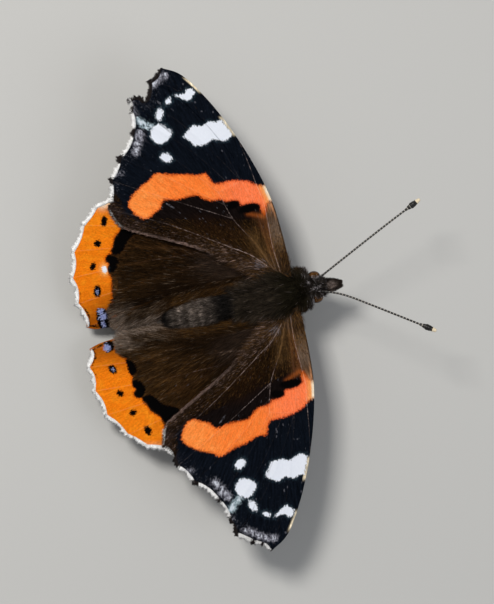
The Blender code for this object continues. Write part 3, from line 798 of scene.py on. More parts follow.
def mixed(colour, other, share):
    """colour · (1 - share) + other · share, with a share for each point."""
    share = np.asarray(share)[..., None]
    return np.asarray(colour) * (1 - share) + np.asarray(other) * share


def layered(colour, *layers):
    """A colour with others laid over it one by one, each given with its share at every point."""
    for other, share in layers:
        colour = mixed(colour, other, share)
    return colour


def blot(xy, line, width):
    """A soft stroke: the bell of the distance to a line."""
    return bell(distance_to(xy, [np.array(line, float)]), width)


# %% [markdown]
# The ground colours change slowly, so they are worked out for every corner of the mesh from soft masks:
# blue black towards the tip, brown towards the root, rust along the front edge. Dusting with pale scales
# is kept as a strength, which the shader turns into single pale scales.

# %% Colours of the upper side
BLUE_BLACK = (0.0026, 0.004, 0.0072)
WARM_BLACK = (0.0045, 0.0028, 0.0026)
ROOT_BROWN = (0.0135, 0.0054, 0.002)
REAR_BROWN = (0.036, 0.0152, 0.0045)
ROOT_VEIL, ROOT_GOLD = (0.075, 0.05, 0.038), (0.12, 0.066, 0.027)
RUST, GLOW = (0.075, 0.028, 0.01), (0.36, 0.085, 0.014)
COSTA_GREY, COSTA_PINK = (0.085, 0.052, 0.029), (0.42, 0.19, 0.09)
COSTA_PALE, COSTA_DARK = (0.16, 0.11, 0.08), (0.022, 0.013, 0.008)
TORNUS_BROWN = (0.036, 0.022, 0.018)
EDGE_PINK = (0.25, 0.17, 0.145)
CREAM = (0.82, 0.7, 0.5)
LILAC = (0.36, 0.36, 0.43)
PALE_BLUE = (0.48, 0.62, 0.7)
BAND_TIP, BAND_MIDDLE, BAND_FRONT = (0.88, 0.235, 0.043), (0.86, 0.185, 0.03), (0.9, 0.18, 0.058)
BAND_EDGE = (0.82, 0.31, 0.085)
SPECK_GLOW = (0.9, 0.5, 0.16)
HIND_ORANGE, HIND_YELLOW, HIND_EMBER = (0.77, 0.178, 0.005), (0.8, 0.215, 0.009), (0.34, 0.08, 0.003)
ROOT_STROKE = [(-0.6, 3.6), (-3.0, 4.3), (-6.2, 4.3), (-8.2, 5.8), (-11.5, 8.0)]
HIND_STROKE = [(-4.0, 2.8), (-7.0, 4.2), (-10.5, 6.0)]
GOLD_STROKE = [(-2.8, 5.0), (-3.5, 8.3)]
GLOW_STROKE = [(-3.7, 11.5), (-2.7, 11.1), (-1.7, 10.7)]
TORNUS_STROKE = [(-18.0, 12.7), (-20.3, 14.2), (-21.2, 16.0), (-21.3, 18.0)]
BAND_FOOT = [(-20.0, 13.4), (-15.0, 15.0), (-10.0, 15.4), (-5.0, 13.2), (0.0, 11.0)]
DUSTED = [
    ([(-15.3, 25.2), (-15.9, 24.2), (-16.5, 23.0)], 0.75, 1.0, LILAC),
    ([(-13.9, 30.0), (-12.6, 31.0), (-11.4, 31.7), (-10.4, 32.0)], 0.65, 0.95, LILAC),
    ([(-15.2, 27.0), (-14.5, 26.2), (-13.6, 25.6)], 0.58, 1.15, PALE_BLUE),
    ([(-20.0, 20.6), (-19.0, 20.6)], 0.5, 0.7, LILAC),
    ([(-14.1, 15.3), (-13.2, 14.5)], 0.12, 0.6, LILAC),
    ([(-15.4, 29.5), (-15.4, 27.3)], 0.6, 0.55, LILAC),
]


def fore_ground(xy, front_gap, inner_gap):
    """Black with a brown root; over it the front edge's strips, the rust, the veils and the dusky rims."""
    x, y = xy[..., 0], xy[..., 1]
    foot = np.array(BAND_FOOT)
    past = y - np.interp(x, foot[:, 0], foot[:, 1])
    rust = smoothstep(x, -3.8, -1.6) * within(y, 3.0, 5.0, 10.6, 11.6)
    before_line = smoothstep(x, -1.5, -1.15) * within(y, 3.0, 6.0, 12.0, 12.6)
    strips = smoothstep(lattice_noise(front_gap * 6.5, y * 0.3, 9), -0.45, 0.4)
    front = layered(
        COSTA_GREY,
        (COSTA_DARK, strips * 0.75),
        (COSTA_PINK, smoothstep(y, 9.2, 12.4) * (1 - 0.8 * strips)),
        (COSTA_PALE, 0.5 * within(y, 6.0, 8.0, 9.0, 11.0)),
        (COSTA_DARK, 0.65 * fade(y, 4.5, 7.0)),
        (COSTA_DARK, fade(front_gap, 0.05, 0.22)),
    )
    mottle = 0.65 + 0.35 * lattice_noise(x * 2.2, inner_gap * 4.0, 5)
    near_tip = within(y, 28.5, 29.2, 30.6, 31.4) * fade(front_gap, 0.14, 0.34)
    near_bar = within(y, 21.9, 22.5, 24.6, 25.2) * fade(front_gap, 0.3, 0.45)
    return layered(
        ROOT_BROWN,
        (WARM_BLACK, smoothstep(past, -5.0, -1.5)),
        (BLUE_BLACK, smoothstep(past, 0.0, 2.0)),
        (RUST, rust),
        (front, before_line),
        (ROOT_VEIL, 0.85 * blot(xy, ROOT_STROKE, 1.2)),
        (ROOT_GOLD, 0.7 * blot(xy, GOLD_STROKE, 0.8)),
        (GLOW, 0.4 * blot(xy, GLOW_STROKE, 0.3)),
        (TORNUS_BROWN, 0.8 * blot(xy, TORNUS_STROKE, 0.75)),
        (EDGE_PINK, 0.7 * mottle * fade(inner_gap, 0.05, 0.5) * smoothstep(-x, 8, 13)),
        (CREAM, near_tip + near_bar),
    )


def fore_band_colour(xy, front_gap):
    """Orange red, paler at the front edge, with an embered end where the band meets the dusky root."""
    out = -xy[..., 0]
    return layered(
        BAND_FRONT,
        (BAND_MIDDLE, smoothstep(out, 4, 9)),
        (BAND_TIP, smoothstep(out, 12, 18)),
        (BAND_EDGE, fade(front_gap, 0.3, 1.3)),
        (CREAM, 0.85 * fade(front_gap, 0.15, 0.5)),
        (HIND_EMBER, 0.8 * fade(xy[..., 1], 10.9, 12.5)),
    )


def hind_ground(xy, rim):
    """Brown that warms towards the rear, a pale veil at the root and a dusky rim by the inner corner."""
    x, y = xy[..., 0], xy[..., 1]
    return layered(
        ROOT_BROWN,
        (REAR_BROWN, smoothstep(-x, 9, 22) * 0.8),
        (REAR_BROWN, 0.7 * fade(y, 2.2, 4.2)),
        (ROOT_VEIL, 0.6 * blot(xy, HIND_STROKE, 1.4)),
        (TORNUS_BROWN, 0.6 * fade(rim, 0.1, 0.5) * fade(y, 0.5, 2.0)),
    )


def hind_band_colour(xy, front_gap):
    """Orange, yellower towards the front, and embered towards the inner corner."""
    x, y = xy[..., 0], xy[..., 1]
    return layered(
        HIND_ORANGE,
        (HIND_YELLOW, smoothstep(y, 9.0, 15.5) * 0.5),
        (CREAM, 0.12 * fade(front_gap, 0.0, 0.9)),
        (HIND_EMBER, fade(y + 0.35 * (-24.0 - x), 2.8, 7.6)),
    )


def dust_on(xy):
    """The strength of the pale dusting, and its colour, where the strongest stroke wins."""
    strength, colour = np.zeros(xy.shape[:-1]), np.broadcast_to(np.array(LILAC), (*xy.shape[:-1], 3))
    for line, width, amount, tone in DUSTED:
        here = amount * blot(xy, line, width)
        colour = np.where((here > strength)[..., None], tone, colour)
        strength = np.maximum(strength, here)
    return strength, colour


# %% [markdown]
# The under side isn't in the photo and follows the species. Under the fore wing the band is rosy, the
# white bar repeats beside a blue stroke, and the tip is a mottled brown. The hind wing's under side is
# bark: marbled in browns, greys and black, with a pale patch at its front edge and faint rings near the
# margin.

# %% Colours of the under side
ROSE = (0.62, 0.13, 0.075)
BARK, BARK_PALE, BARK_DARK = (0.085, 0.058, 0.038), (0.3, 0.25, 0.19), (0.018, 0.013, 0.011)
SLATE_BLUE = (0.09, 0.2, 0.42)


def fore_under(xy):
    """Ground colour and the strength of the marbling under the fore wing."""
    x, y = xy[..., 0], xy[..., 1]
    tip = smoothstep(y - 0.5 * x, 31.0, 36.0)
    colour = layered(
        mixed(WARM_BLACK, BARK_DARK, 0.5),
        (BARK, tip),
        (BARK_PALE, 0.4 * smoothstep(-x, 17, 21)),
        (SLATE_BLUE, 0.9 * blot(xy, [(-3.2, 18.6), (-5.4, 19.0)], 0.5)),
        (ROSE, 0.7 * blot(xy, [(-2.4, 5.5), (-2.9, 10.8)], 0.9)),
    )
    return colour, 0.3 + 0.7 * tip


def hind_under(xy):
    """Ground colour and the strength of the marbling under the hind wing."""
    x, y = xy[..., 0], xy[..., 1]
    radius = np.hypot(x + 3, y - 3)
    colour = layered(
        BARK,
        (BARK_DARK, 0.75 * within(radius, 9, 13, 15, 18)),
        (BARK_PALE, 0.85 * blot(xy, [(-8.3, 12.9), (-9.6, 11.9)], 0.8)),
        (BARK_PALE, 0.5 * np.exp(-(((radius - 24.6) / 0.5) ** 2))),
        (BARK_PALE, 0.35 * fade(y, 2.0, 5.0)),
    )
    return colour, np.ones_like(x)


# %% [markdown]
# One finish covers all four wings, on both sides, because the markings are in the notes. It is painted
# from the bottom up: marbled or streaked ground, gilt and single pale scales, dusting, the bare lines of
# the veins, the band with painted highlights (paler, pinker patches) in its middle and a burnt rim, dark
# spots, a bluish halo, white, and blue on top. A mosaic of cells stands for the scales: each has its own
# tone and nudges every edge, so that edges break up scale by scale. The flow note counts its first number
# outwards from the root, and so the streaks run out along the wing.

# %% The finish of the wings
WHITE, WHITE_SHADE = (0.8, 0.84, 0.92), (0.7, 0.74, 0.84)
WHITE_HALO = (0.026, 0.046, 0.062)
SPOT_BLACK = (0.0014, 0.0011, 0.0012)
WING_BLUE, WING_BLUE_PALE = (0.13, 0.16, 0.37), (0.28, 0.31, 0.5)
VEIN_PALE, BAND_VEIN = (0.36, 0.275, 0.255), (0.9, 0.42, 0.27)
DUST_BRIGHT = (0.66, 0.7, 0.78)
GILT = (0.17, 0.085, 0.026)
# The first tint is a painted highlight, which turns the band paler and pinker in patches; the second darkens
# its rim.
BAND_HIGHLIGHT_TINT, BURNT = (1.03, 1.3, 1.7), (0.6, 0.38, 0.35)


def wing_finish(name):
    """The scales: every mask is a note plus a ragged edge, cut smoothly, that lays a colour over the last."""
    material, paint, shader = start_material(name, Roughness=0.75, Specular_IOR_Level=0.01)
    flow = paint.note("flow", "Vector")

    def streaks(out, across, **how):
        return flow.stretched((out, across, 1.0)).noise(1.0, **how)

    scale_tone = flow.stretched((6.0, 11.0, 1.0)).cells(1.0)
    fine = streaks(2.2, 9.0, detail=3.0)
    streak = streaks(0.45, 5.0, detail=3.0, roughness=0.6)
    wander = flow.noise(1.3)
    teeth = streaks(1.2, 7.0)
    ragged = (scale_tone - 0.5) * 0.24 + (fine - 0.5) * 0.35 + (teeth - 0.5) * 0.35
    marble = flow.noise(0.85, detail=5.0, roughness=0.65)
    colour = paint.note("ground", "Vector")
    colour = colour.under(colour.scaled(0.25 + 2.6 * marble.step(0.3, 0.7)), paint.note("marbling"))
    colour = colour.scaled(0.3 + 1.4 * streak.step(0.2, 0.85) + 0.4 * scale_tone)
    gilt = (scale_tone - 0.55).step(0.0, 0.25) * paint.note("gilt") * wander.step(0.3, 0.6)
    colour = colour.under(GILT, gilt)
    specks = flow.stretched((3.4, 7.5, 1.0)).cells(1.0)
    colour = colour.under(LILAC, (specks - 0.992).step(0.0, 0.006) * 0.16)
    drift = streaks(1.5, 3.2, detail=4.0, roughness=0.6)
    dust = paint.note("dust") * (0.5 + drift.step(0.25, 0.75)) + (fine - 0.5) * 0.9 + (scale_tone - 0.5) * 0.5
    colour = colour.under(paint.note("dust_colour", "Vector"), dust.step(0.25, 1.4) * 0.85)
    colour = colour.under(DUST_BRIGHT, (dust - 0.95).step(0.0, 0.4) * 0.75)
    line = paint.note("vein_side").math("ABSOLUTE", paint.note("vein_side")) + (scale_tone - 0.5) * 0.07
    bare = (1 - line.step(0.0, 0.05)) * (1 - paint.note("vein").step(0.25, 0.45)) * paint.note("vein_glow")
    bare = bare * (0.25 + 0.75 * wander.step(0.35, 0.6)) * (0.3 + 1.1 * fine.step(0.35, 0.65))
    colour = colour.under(VEIN_PALE, bare)
    inside = paint.note("band") - 0.05
    # Painted highlight: paler, pinker patches inside the band's middle.
    painted_highlight = streaks(0.8, 1.6, detail=4.0, roughness=0.6)
    band_colour = paint.note("band_colour", "Vector").scaled(0.6 + 0.3 * scale_tone + 0.55 * streak)
    painted_highlight = painted_highlight.step(0.42, 0.75) * inside.step(0.1, 0.5)
    band_colour = band_colour.under(band_colour.stretched(BAND_HIGHLIGHT_TINT), painted_highlight)
    rim_burn = (1 - (inside + ragged * 0.8).step(0.0, 0.4)) * 0.75
    band_colour = band_colour.under(band_colour.stretched(BURNT), rim_burn)
    band_colour = band_colour.under(BAND_VEIN, bare * 0.6 + (1 - line.step(0.015, 0.06)) * 0.12)
    colour = colour.under(band_colour, (inside + ragged).step(-0.1, 0.12))
    colour = colour.under(SPOT_BLACK, (paint.note("spots") + ragged * 0.9).step(-0.07, 0.09))
    halo = (paint.note("white") + ragged * 1.3).step(-0.45, 0.0) * (1 - inside.step(-0.3, 0.1))
    colour = colour.under(WHITE_HALO, halo * 0.55)
    white = (paint.note("white") + ragged * 0.95).step(-0.06, 0.08)
    colour = colour.under(fine.blend(WHITE, WHITE_SHADE), white)
    blue = scale_tone.blend(WING_BLUE, WING_BLUE_PALE)
    colour = colour.under(blue, (paint.note("blue") + ragged * 1.2).step(-0.08, 0.1))
    feed(shader.inputs["Base Color"], colour)
    add_bump(shader, scale_tone * 0.6 + fine + streak * 0.8, 0.45, 0.035)
    return material


# %% [markdown]
# A wing's two faces lie back to back, so they are made together from one set of points in plan. Every
# marking is measured there, before the points are spread, mirrored and lifted to their heights. What
# differs between a fore wing and a hind wing is kept in one table, from which the fringe and the hair are
# made as well.

# %% The notes of a wing
FORE_GLOW = {"subcosta": 1.0, "radius": 0.12, "cubitus": 0.7, "anal": 1.0, "cubitus_2": 0.7, "cell_end": 0.05}
HIND_GLOW = {"cubitus_1": 0.6, "cubitus_2": 0.3, "radius": 0.4, "media_2": 0.25}
PLAIN_GLOW = 0.15
BARE_AT_ROOT = ("anal", "subcosta")
OUTSIDE = -9.0


def wing_notes(xy, side, veins, glow, marks):
    """The notes that the finish reads: the markings, distances to the veins, and the flow from the root."""
    gaps = np.stack([distance_to(xy, [line]) for line in veins.values()])
    nearest = gaps.argmin(0)
    strengths = np.array([glow.get(name, PLAIN_GLOW) for name in veins])
    reach = np.hypot(xy[..., 0] - HIND_PIVOT[0], xy[..., 1] - HIND_PIVOT[1])
    rooted = np.array([name in BARE_AT_ROOT for name in veins])[nearest]
    bare_from = np.where(rooted, 1.0, smoothstep(reach, 4.5, 8.0))
    bearing = np.arctan2(xy[..., 1] - HIND_PIVOT[1], -xy[..., 0] + HIND_PIVOT[0])
    return {
        "flow": np.stack([reach, bearing * 18.0, np.full_like(reach, 4.0 * side)], -1),
        "vein": gaps.min(0),
        "vein_side": distance_to(xy, list(veins.values()), signed=True),
        "vein_glow": strengths[nearest] * (1 - 0.8 * smoothstep(reach, 11.0, 17.0)) * bare_from,
        **marks,
    }


def marks_of(ground, band_colour, dust=None, **given):
    """All the notes of a side's markings. A marking or a strength that the side doesn't have isn't given."""
    off, none = np.full(ground.shape[:-1], OUTSIDE), np.zeros(ground.shape[:-1])
    marks = {"white": off, "band": off, "spots": off, "blue": off, "marbling": none, "gilt": none}
    strength, dust_colour = dust or (none, ground * 0 + LILAC)
    colours = {"ground": ground, "band_colour": band_colour, "dust": strength, "dust_colour": dust_colour}
    return {**marks, **colours, **given}


def fore_marks(xy, side, front_gap, inner_gap, rim):
    """The fore wing's upper side. On the right the white spots and the band lie a little further out."""
    x, y = xy[..., 0], xy[..., 1]
    white_xy = xy - (WHITE_SHIFT_RIGHT if side == RIGHT else (0, 0))
    band_xy = (xy - BAND_SHIFT_RIGHT) / BAND_STRETCH_RIGHT if side == RIGHT else xy
    white = shapes_by(white_xy, [FORE_BAR, FORE_WEDGE, FORE_ROUND])
    white = np.maximum(white, spots_by(white_xy, FORE_SPOTS))
    strength, dust_colour = dust_on(white_xy)
    outer = smoothstep(y, 17, 19) * smoothstep(-x - 0.42 * (y - 14), 3.2, 5.0)
    strength = np.maximum(strength, 0.2 * fade(rim, 0.6, 2.2) * outer)
    rooted = fade(y + 0.25 * x, 6.5, 10.0)
    return marks_of(
        fore_ground(xy, front_gap, inner_gap), fore_band_colour(xy, front_gap), (strength, dust_colour),
        band=shapes_by(band_xy, [FORE_BAND]), spots=spots_by(band_xy, FORE_BITES),
        white=np.minimum(white, front_gap - 0.3), gilt=rooted * (0.3 + 0.7 * smoothstep(x, -6.5, -2.5)),
    )


def fore_under_marks(xy, side, *gaps):
    ground, marbling = fore_under(xy)
    band, white = shapes_by(xy, [FORE_BAND]) - 0.2, shapes_by(xy, [FORE_BAR]) - 0.15
    return marks_of(ground, ground * 0 + ROSE, band=band, white=white, marbling=marbling)


def hind_marks(xy, side, front_gap, inner_gap, rim):
    """The hind wing's upper side, with the dots, blotches and black corner of its own side."""
    x, y = xy[..., 0], xy[..., 1]
    edge_line = 0.1 - 0.08 * smoothstep(y, 3.2, 3.8) - np.abs(rim - 0.35)
    edge_line = np.where((y < 6.2) & (x < -26.4), edge_line, OUTSIDE)
    blotches = shapes_by(xy, [*HIND_BLOTCHES[:BLOTCH_COUNT[side]], CORNER_BLACK[side]])
    marks = {
        "band": shapes_by(xy, [HIND_BAND]),
        "spots": np.maximum.reduce([spots_by(xy, [*HIND_DOTS, LAST_DOT[side]]), blotches, edge_line]),
        "blue": spots_by(xy, HIND_BLUE[side]),
        "gilt": 0.25 + 0 * y,
    }
    band_colour = hind_band_colour(xy, front_gap)
    if side == LEFT:
        marks["white"] = spots_by(xy, [HIND_SPECK])
        band_colour = layered(
            band_colour,
            (SPECK_GLOW, 0.65 * blot(xy, [(-24.35, 7.8), (-24.35, 8.3)], 0.55)),
            (CREAM, 0.75 * blot(xy, [(-22.8, 16.6), (-21.8, 16.9), (-20.5, 17.5)], 0.65)),
        )
    return marks_of(hind_ground(xy, rim), band_colour, **marks)


def hind_under_marks(xy, side, *gaps):
    ground, marbling = hind_under(xy)
    eyes = spots_by(xy, [(*spot[:2], 0.55, 0.5, 0) for spot in [*HIND_DOTS, LAST_DOT[side]]])
    return marks_of(ground, ground, spots=eyes, marbling=marbling)


# %% Making a wing
def hind_veins(side):
    """The hind veins end at the same tips on both sides."""
    return HIND_VEINS


WINGS = {
    "forewing": {
        "slot": "fore_wing", "patch": fore_patch, "veins": fore_veins, "glow": FORE_GLOW,
        "height": fore_height, "moved": stay, "marks": (fore_marks, fore_under_marks),
    },
    "hindwing": {
        "slot": "hind_wing", "patch": hind_patch, "veins": hind_veins, "glow": HIND_GLOW,
        "height": hind_height, "moved": spread, "marks": (hind_marks, hind_under_marks),
    },
}


def on_side(wing, side, xy, z):
    """Points of a wing, drawn as a left one, carried to their own side, with their heights."""
    return np.column_stack([wing["moved"](xy, side) * (1, side), z])


def make_wing(kind, word, material):
    """One wing from its patch. The upper points carry the upper side's notes, the others the under side's."""
    wing, side = WINGS[kind], SIDES[word]
    xy = wing["patch"](side)
    rows, columns = xy.shape[:2]
    flat = xy.reshape(-1, 2)
    gaps = [distance_to(xy, [edge]) for edge in (xy[:, 0], xy[:, -1], flat[border_of((rows, columns))])]
    lines = {key: smooth_line(points, 0.8) for key, points in wing["veins"](side).items()}
    heights = wing_surface(xy, wing["height"], distance_to(xy, list(lines.values())), gaps[-1])
    points = np.vstack([on_side(wing, side, flat, z.ravel()) for z in heights])
    faces = [wing_notes(xy, side, lines, wing["glow"], marks(xy, side, *gaps)) for marks in wing["marks"]]
    notes = {}
    for key, upper in faces[0].items():
        width = upper.shape[2:]
        notes[key] = np.concatenate([face[key].reshape(-1, *width) for face in faces])
    # On the wing's own map the upper face takes one half and the under face the other.
    u, v = np.meshgrid(np.linspace(0.01, 0.99, rows), np.linspace(0.01, 0.485, columns), indexing="ij")
    spots = np.stack([u, v], -1).reshape(-1, 2)
    spots = np.concatenate([spots, spots + (0, 0.505)])
    name = f"{kind}_{word}"
    shape = points, wing_faces((rows, columns), side)
    put(name + "_scales", shape, material, [name], notes, spots)


# %% [markdown]
# Fur is made of tufts. A tuft is a spike with three sides: rings of three points along a gently arched
# line, each smaller than the last, and one point at the tip. Ten to sixteen triangles each is little, so
# a coat can have thousands. All tufts of a coat are worked out at once, as arrays of roots and tips, and
# go into one mesh. Their colour is a note too, the same formula that paints the skin beneath, so that
# coat and skin agree.

# %% Tufts
PATCH_SIZE = 0.003


def tuft_parts(roots, tips, arch, width, tones, spots, rings=2, taper=0.8):
    """Spikes from roots to tips. At share t the line is root + (tip - root) · t + arch · 4t(1 - t), and its
    radius width · (1 - t) to the power taper. Gives points, quads, triangles, shares, tones and map spots."""
    count = len(roots)
    t = np.linspace(0, 1, rings + 1)[:-1]
    way = tips - roots
    line = roots[:, None] + way[:, None] * t[None, :, None] + arch[:, None] * (4 * t * (1 - t))[None, :, None]
    side = unit(np.cross(way, (0.13, 0.21, 1.0)))
    over = unit(np.cross(way, side))
    angle = np.arange(3) * 2 * math.pi / 3
    around = np.cos(angle)[None, :, None] * side[:, None] + np.sin(angle)[None, :, None] * over[:, None]
    radius = width[:, None] * (1 - t)[None, :] ** taper
    body = line[:, :, None] + around[:, None] * radius[:, :, None, None]
    points = np.concatenate([body.reshape(count, rings * 3, 3), tips[:, None]], 1)
    per_tuft = rings * 3 + 1
    k = np.arange(3)
    after = (k + 1) % 3
    low = (np.arange(rings - 1) * 3)[:, None]
    quads = np.stack([low + k, low + after, low + 3 + after, low + 3 + k], -1).reshape(-1, 4)
    last = (rings - 1) * 3
    fans = np.vstack([np.stack([last + k, last + after, np.full(3, per_tuft - 1)], 1), [[2, 1, 0]]])
    first = (np.arange(count) * per_tuft)[:, None, None]
    share = np.tile(np.concatenate([np.repeat(t, 3), [1.0]]), count)
    turn = np.tile(np.concatenate([np.tile(k / 3, rings), [0.3]]), count)
    spots = np.stack([turn - 0.5, share - 0.5], 1) * PATCH_SIZE + np.repeat(spots, per_tuft, 0)
    faces = (first + quads).reshape(-1, 4), (first + fans).reshape(-1, 3)
    return points.reshape(-1, 3), *faces, share, np.repeat(tones, per_tuft, 0), spots


def fur_finish(name, root_tone=0.45, tip_tone=1.5):
    """Hair: the coat's own colour, darker at the root and paler at the tip, with a fine streak."""
    material, paint, shader = start_material(name, Roughness=0.6, Specular_IOR_Level=0.03)
    place = paint.node("TexCoord", out="Object")
    share = paint.note("share")
    speckle = place.noise(2600.0, detail=2.0)
    tone = (root_tone + share * (tip_tone - root_tone)) * (0.75 + 0.5 * speckle)
    feed(shader.inputs["Base Color"], paint.note("coat", "Vector").scaled(tone))
    add_bump(shader, place.noise(5200.0, detail=3.0), 0.5, 0.05)
    return material


def put_coat(name, parts, material, replaces=(), in_world=False):
    """Puts tufts, or a tube with its tufts, into one piece with the notes that the fur's finish reads."""
    shape, (share, coat, spots) = parts[:3], parts[3:]
    notes = {"share": share, "coat": coat}
    put(name, shape, material, replaces, notes, np.clip(spots, 0.001, 0.999), in_world)


# %% [markdown]
# The body is one skin from the tip of the abdomen to the face, so that no seam shows. Its cross sections
# are ellipses whose half width, half height and middle are smooth lines through a few given values,
# and it lies inside the solids by the depth of the fur. The abdomen's segments swell a little between
# narrow rings.

# %% The skin of the body
BODY = [
    (-18.1, 0.0, 0.0, -1.8), (-17.9, 0.38, 0.38, -1.78), (-17.0, 1.0, 0.95, -1.6),
    (-15.0, 1.65, 1.6, -1.35), (-12.6, 1.9, 1.85, -1.15), (-10.0, 1.78, 1.78, -1.05),
    (-8.4, 1.62, 1.66, -1.05), (-7.5, 1.6, 1.65, -1.1), (-6.4, 2.05, 2.0, -1.15),
    (-4.2, 2.75, 2.65, -1.05), (-1.9, 2.9, 2.8, -1.0), (0.0, 2.5, 2.35, -1.0), (1.0, 2.05, 1.85, -1.0),
    (1.6, 1.75, 1.6, -1.0), (2.2, 1.55, 1.4, -1.05), (3.1, 1.45, 1.35, -1.1), (3.8, 1.1, 1.1, -1.2),
    (4.1, 0.6, 0.65, -1.3), (4.2, 0.0, 0.0, -1.3),
]
HEAD_TURN = math.radians(-5.0)
NECK_X = 1.5
ABDOMEN_REAR, ABDOMEN_FRONT, SEGMENTS = -18.3, -6.0, 9
SEGMENT_SWELL = 0.07
SKIN_SHARE = 0.3
SKIN_ROWS, SKIN_SIDES = 260, 72


def turned_head(points):
    """Turns points about the neck, the more the further they are in front of it."""
    angle = HEAD_TURN * smoothstep(points[..., 0], NECK_X - 0.3, NECK_X + 0.6)
    cos, sin = np.cos(angle), np.sin(angle)
    x, y = points[..., 0] - NECK_X, points[..., 1]
    return np.stack([NECK_X + x * cos - y * sin, x * sin + y * cos, points[..., 2]], -1)


def segment_of(x):
    """How far along its segment a place on the abdomen lies: 0 at the front ring, 1 at the rear one."""
    return 1 - ((x - ABDOMEN_REAR) / (ABDOMEN_FRONT - ABDOMEN_REAR) * SEGMENTS) % 1


def body_rows(x):
    """Half width, half height and middle height of the body's cross section at places along it."""
    rows = smooth_line(BODY, 0.4)
    order = np.argsort(rows[:, 0], kind="stable")
    return [np.interp(x, rows[order, 0], rows[order, k]) for k in (1, 2, 3)]


def body_point(x, angle, lift=0.0):
    """Point (x, w(x) · cos a, c(x) + h(x) · sin a), where a segment adds its swell · sin² of the share."""
    width, height, centre = body_rows(x)
    on_abdomen = fade(x, -8.6, -8.0) * smoothstep(x, -18.0, -17.2)
    swell = SEGMENT_SWELL * np.sin(math.pi * segment_of(x)) ** 2 * on_abdomen
    y = (np.maximum(width, 0) + swell + lift) * np.cos(angle)
    z = centre + (np.maximum(height, 0) + swell + lift) * np.sin(angle)
    return turned_head(np.stack([x + 0 * y, y, z], -1))


def body_normal(x, angle):
    """The outward direction: square to one small step along the body and one round it."""
    along = body_point(x + 0.05, angle) - body_point(x - 0.05, angle)
    around = body_point(x, angle + 0.02) - body_point(x, angle - 0.02)
    return unit(np.cross(around, along))


SKIN_BLACK, SKIN_OLIVE, SKIN_BROWN = (0.009, 0.008, 0.0075), (0.015, 0.0122, 0.0068), (0.036, 0.0195, 0.01)
SADDLE, HEAD_GREY = (0.036, 0.0275, 0.0195), (0.028, 0.023, 0.02)
GREY_RING, ABDOMEN_GREY, ASH = (0.22, 0.18, 0.155), (0.105, 0.084, 0.07), (0.42, 0.39, 0.41)
BELLY = (0.16, 0.12, 0.085)


def body_colour(x, angle):
    """Olive black with a paler saddle and brown flanks, a greyish abdomen in faint rings, a buff belly."""
    top = np.sin(angle)
    along = within(x, -17.6, -15.6, -12.6, -9.6)
    patchy = 0.75 + 0.25 * lattice_noise(x * 1.3, angle * 3.0, 3)
    ring = smoothstep(segment_of(x), 0.3, 0.85) * (0.35 + 0.65 * patchy)
    ringed = layered(
        SKIN_BLACK,
        (ABDOMEN_GREY, along * patchy * smoothstep(top, 0.0, 0.7)),
        (GREY_RING, 0.55 * ring * along * smoothstep(top, 0.2, 0.85)),
    )
    head = smoothstep(x, 1.2, 2.2)
    return layered(
        SADDLE,
        (SKIN_OLIVE, smoothstep(x, -3.2, -0.6)),
        (SKIN_BROWN, 0.85 * smoothstep(-top, -0.8, 0.0)),
        (ringed, fade(x, -8.5, -7.0)),
        (HEAD_GREY, head),
        (BELLY, smoothstep(-top, 0.25, 0.75) * (1 - 0.4 * head)),
    )


def make_skin(material):
    """Rows of points that lie closer together towards both ends of the body: share (1 - cos(π f)) / 2."""
    rear, front = BODY[0][0], BODY[-1][0]
    x = rear + (front - rear) * (1 - np.cos(np.linspace(0.02, 0.98, SKIN_ROWS) * math.pi)) / 2
    angle = np.linspace(0, 2 * math.pi, SKIN_SIDES, endpoint=False)
    x, angle = np.meshgrid(x, angle, indexing="ij")
    skin = closed_grid(body_point(x, angle))
    x, angle = np.append(x, x[[0, -1], 0]), np.append(angle, [0.5 * math.pi] * 2)
    parts = *skin, np.full(len(x), SKIN_SHARE), body_colour(x, angle), skin_spot(x, angle)
    put_coat("body_skin", parts, material, ["head", "thorax", "abdomen"])


def skin_spot(x, angle):
    """The skin's own map: along the body by x, and round it by the angle."""
    return map_spot((x - BODY[0][0]) / (BODY[-1][0] - BODY[0][0]), (angle % (2 * math.pi)) / (2 * math.pi))


# %% [markdown]
# The coat of the body has three lengths. The thorax has long soft hair that lies back and outwards over
# the roots of the wings, the abdomen short hair that lies flat, and the head a short upright pile that is
# longer round the eyes. Roots are drawn at random with an even number for each bit of skin, and every
# draw has a fixed seed.

# %% The coat of the body
THORAX_TUFTS, ABDOMEN_TUFTS, HEAD_TUFTS = 12000, 16000, 11000
THORAX_FLECK = (0.13, 0.105, 0.095)
HEAD_FLECKS = [(3.1, -0.3, 0.28), (3.35, 0.75, 0.22), (2.8, 1.4, 0.2), (2.45, -1.25, 0.22), (2.4, 0.5, 0.16)]


def skin_roots(count, low, high, rng):
    """Even random roots on the skin between two places along the body: wide places keep more of the draws."""
    x = rng.uniform(low, high, count * 4)
    width = body_rows(x)[0]
    x = x[rng.uniform(0, width.max(), len(x)) < width][:count]
    return x, rng.uniform(0, 2 * math.pi, len(x))


def tuft_tones(colour, rng, spread=0.35):
    """Each tuft's colour, a little darker or paler by chance."""
    return colour * np.exp(rng.normal(0, spread, len(colour)))[:, None]


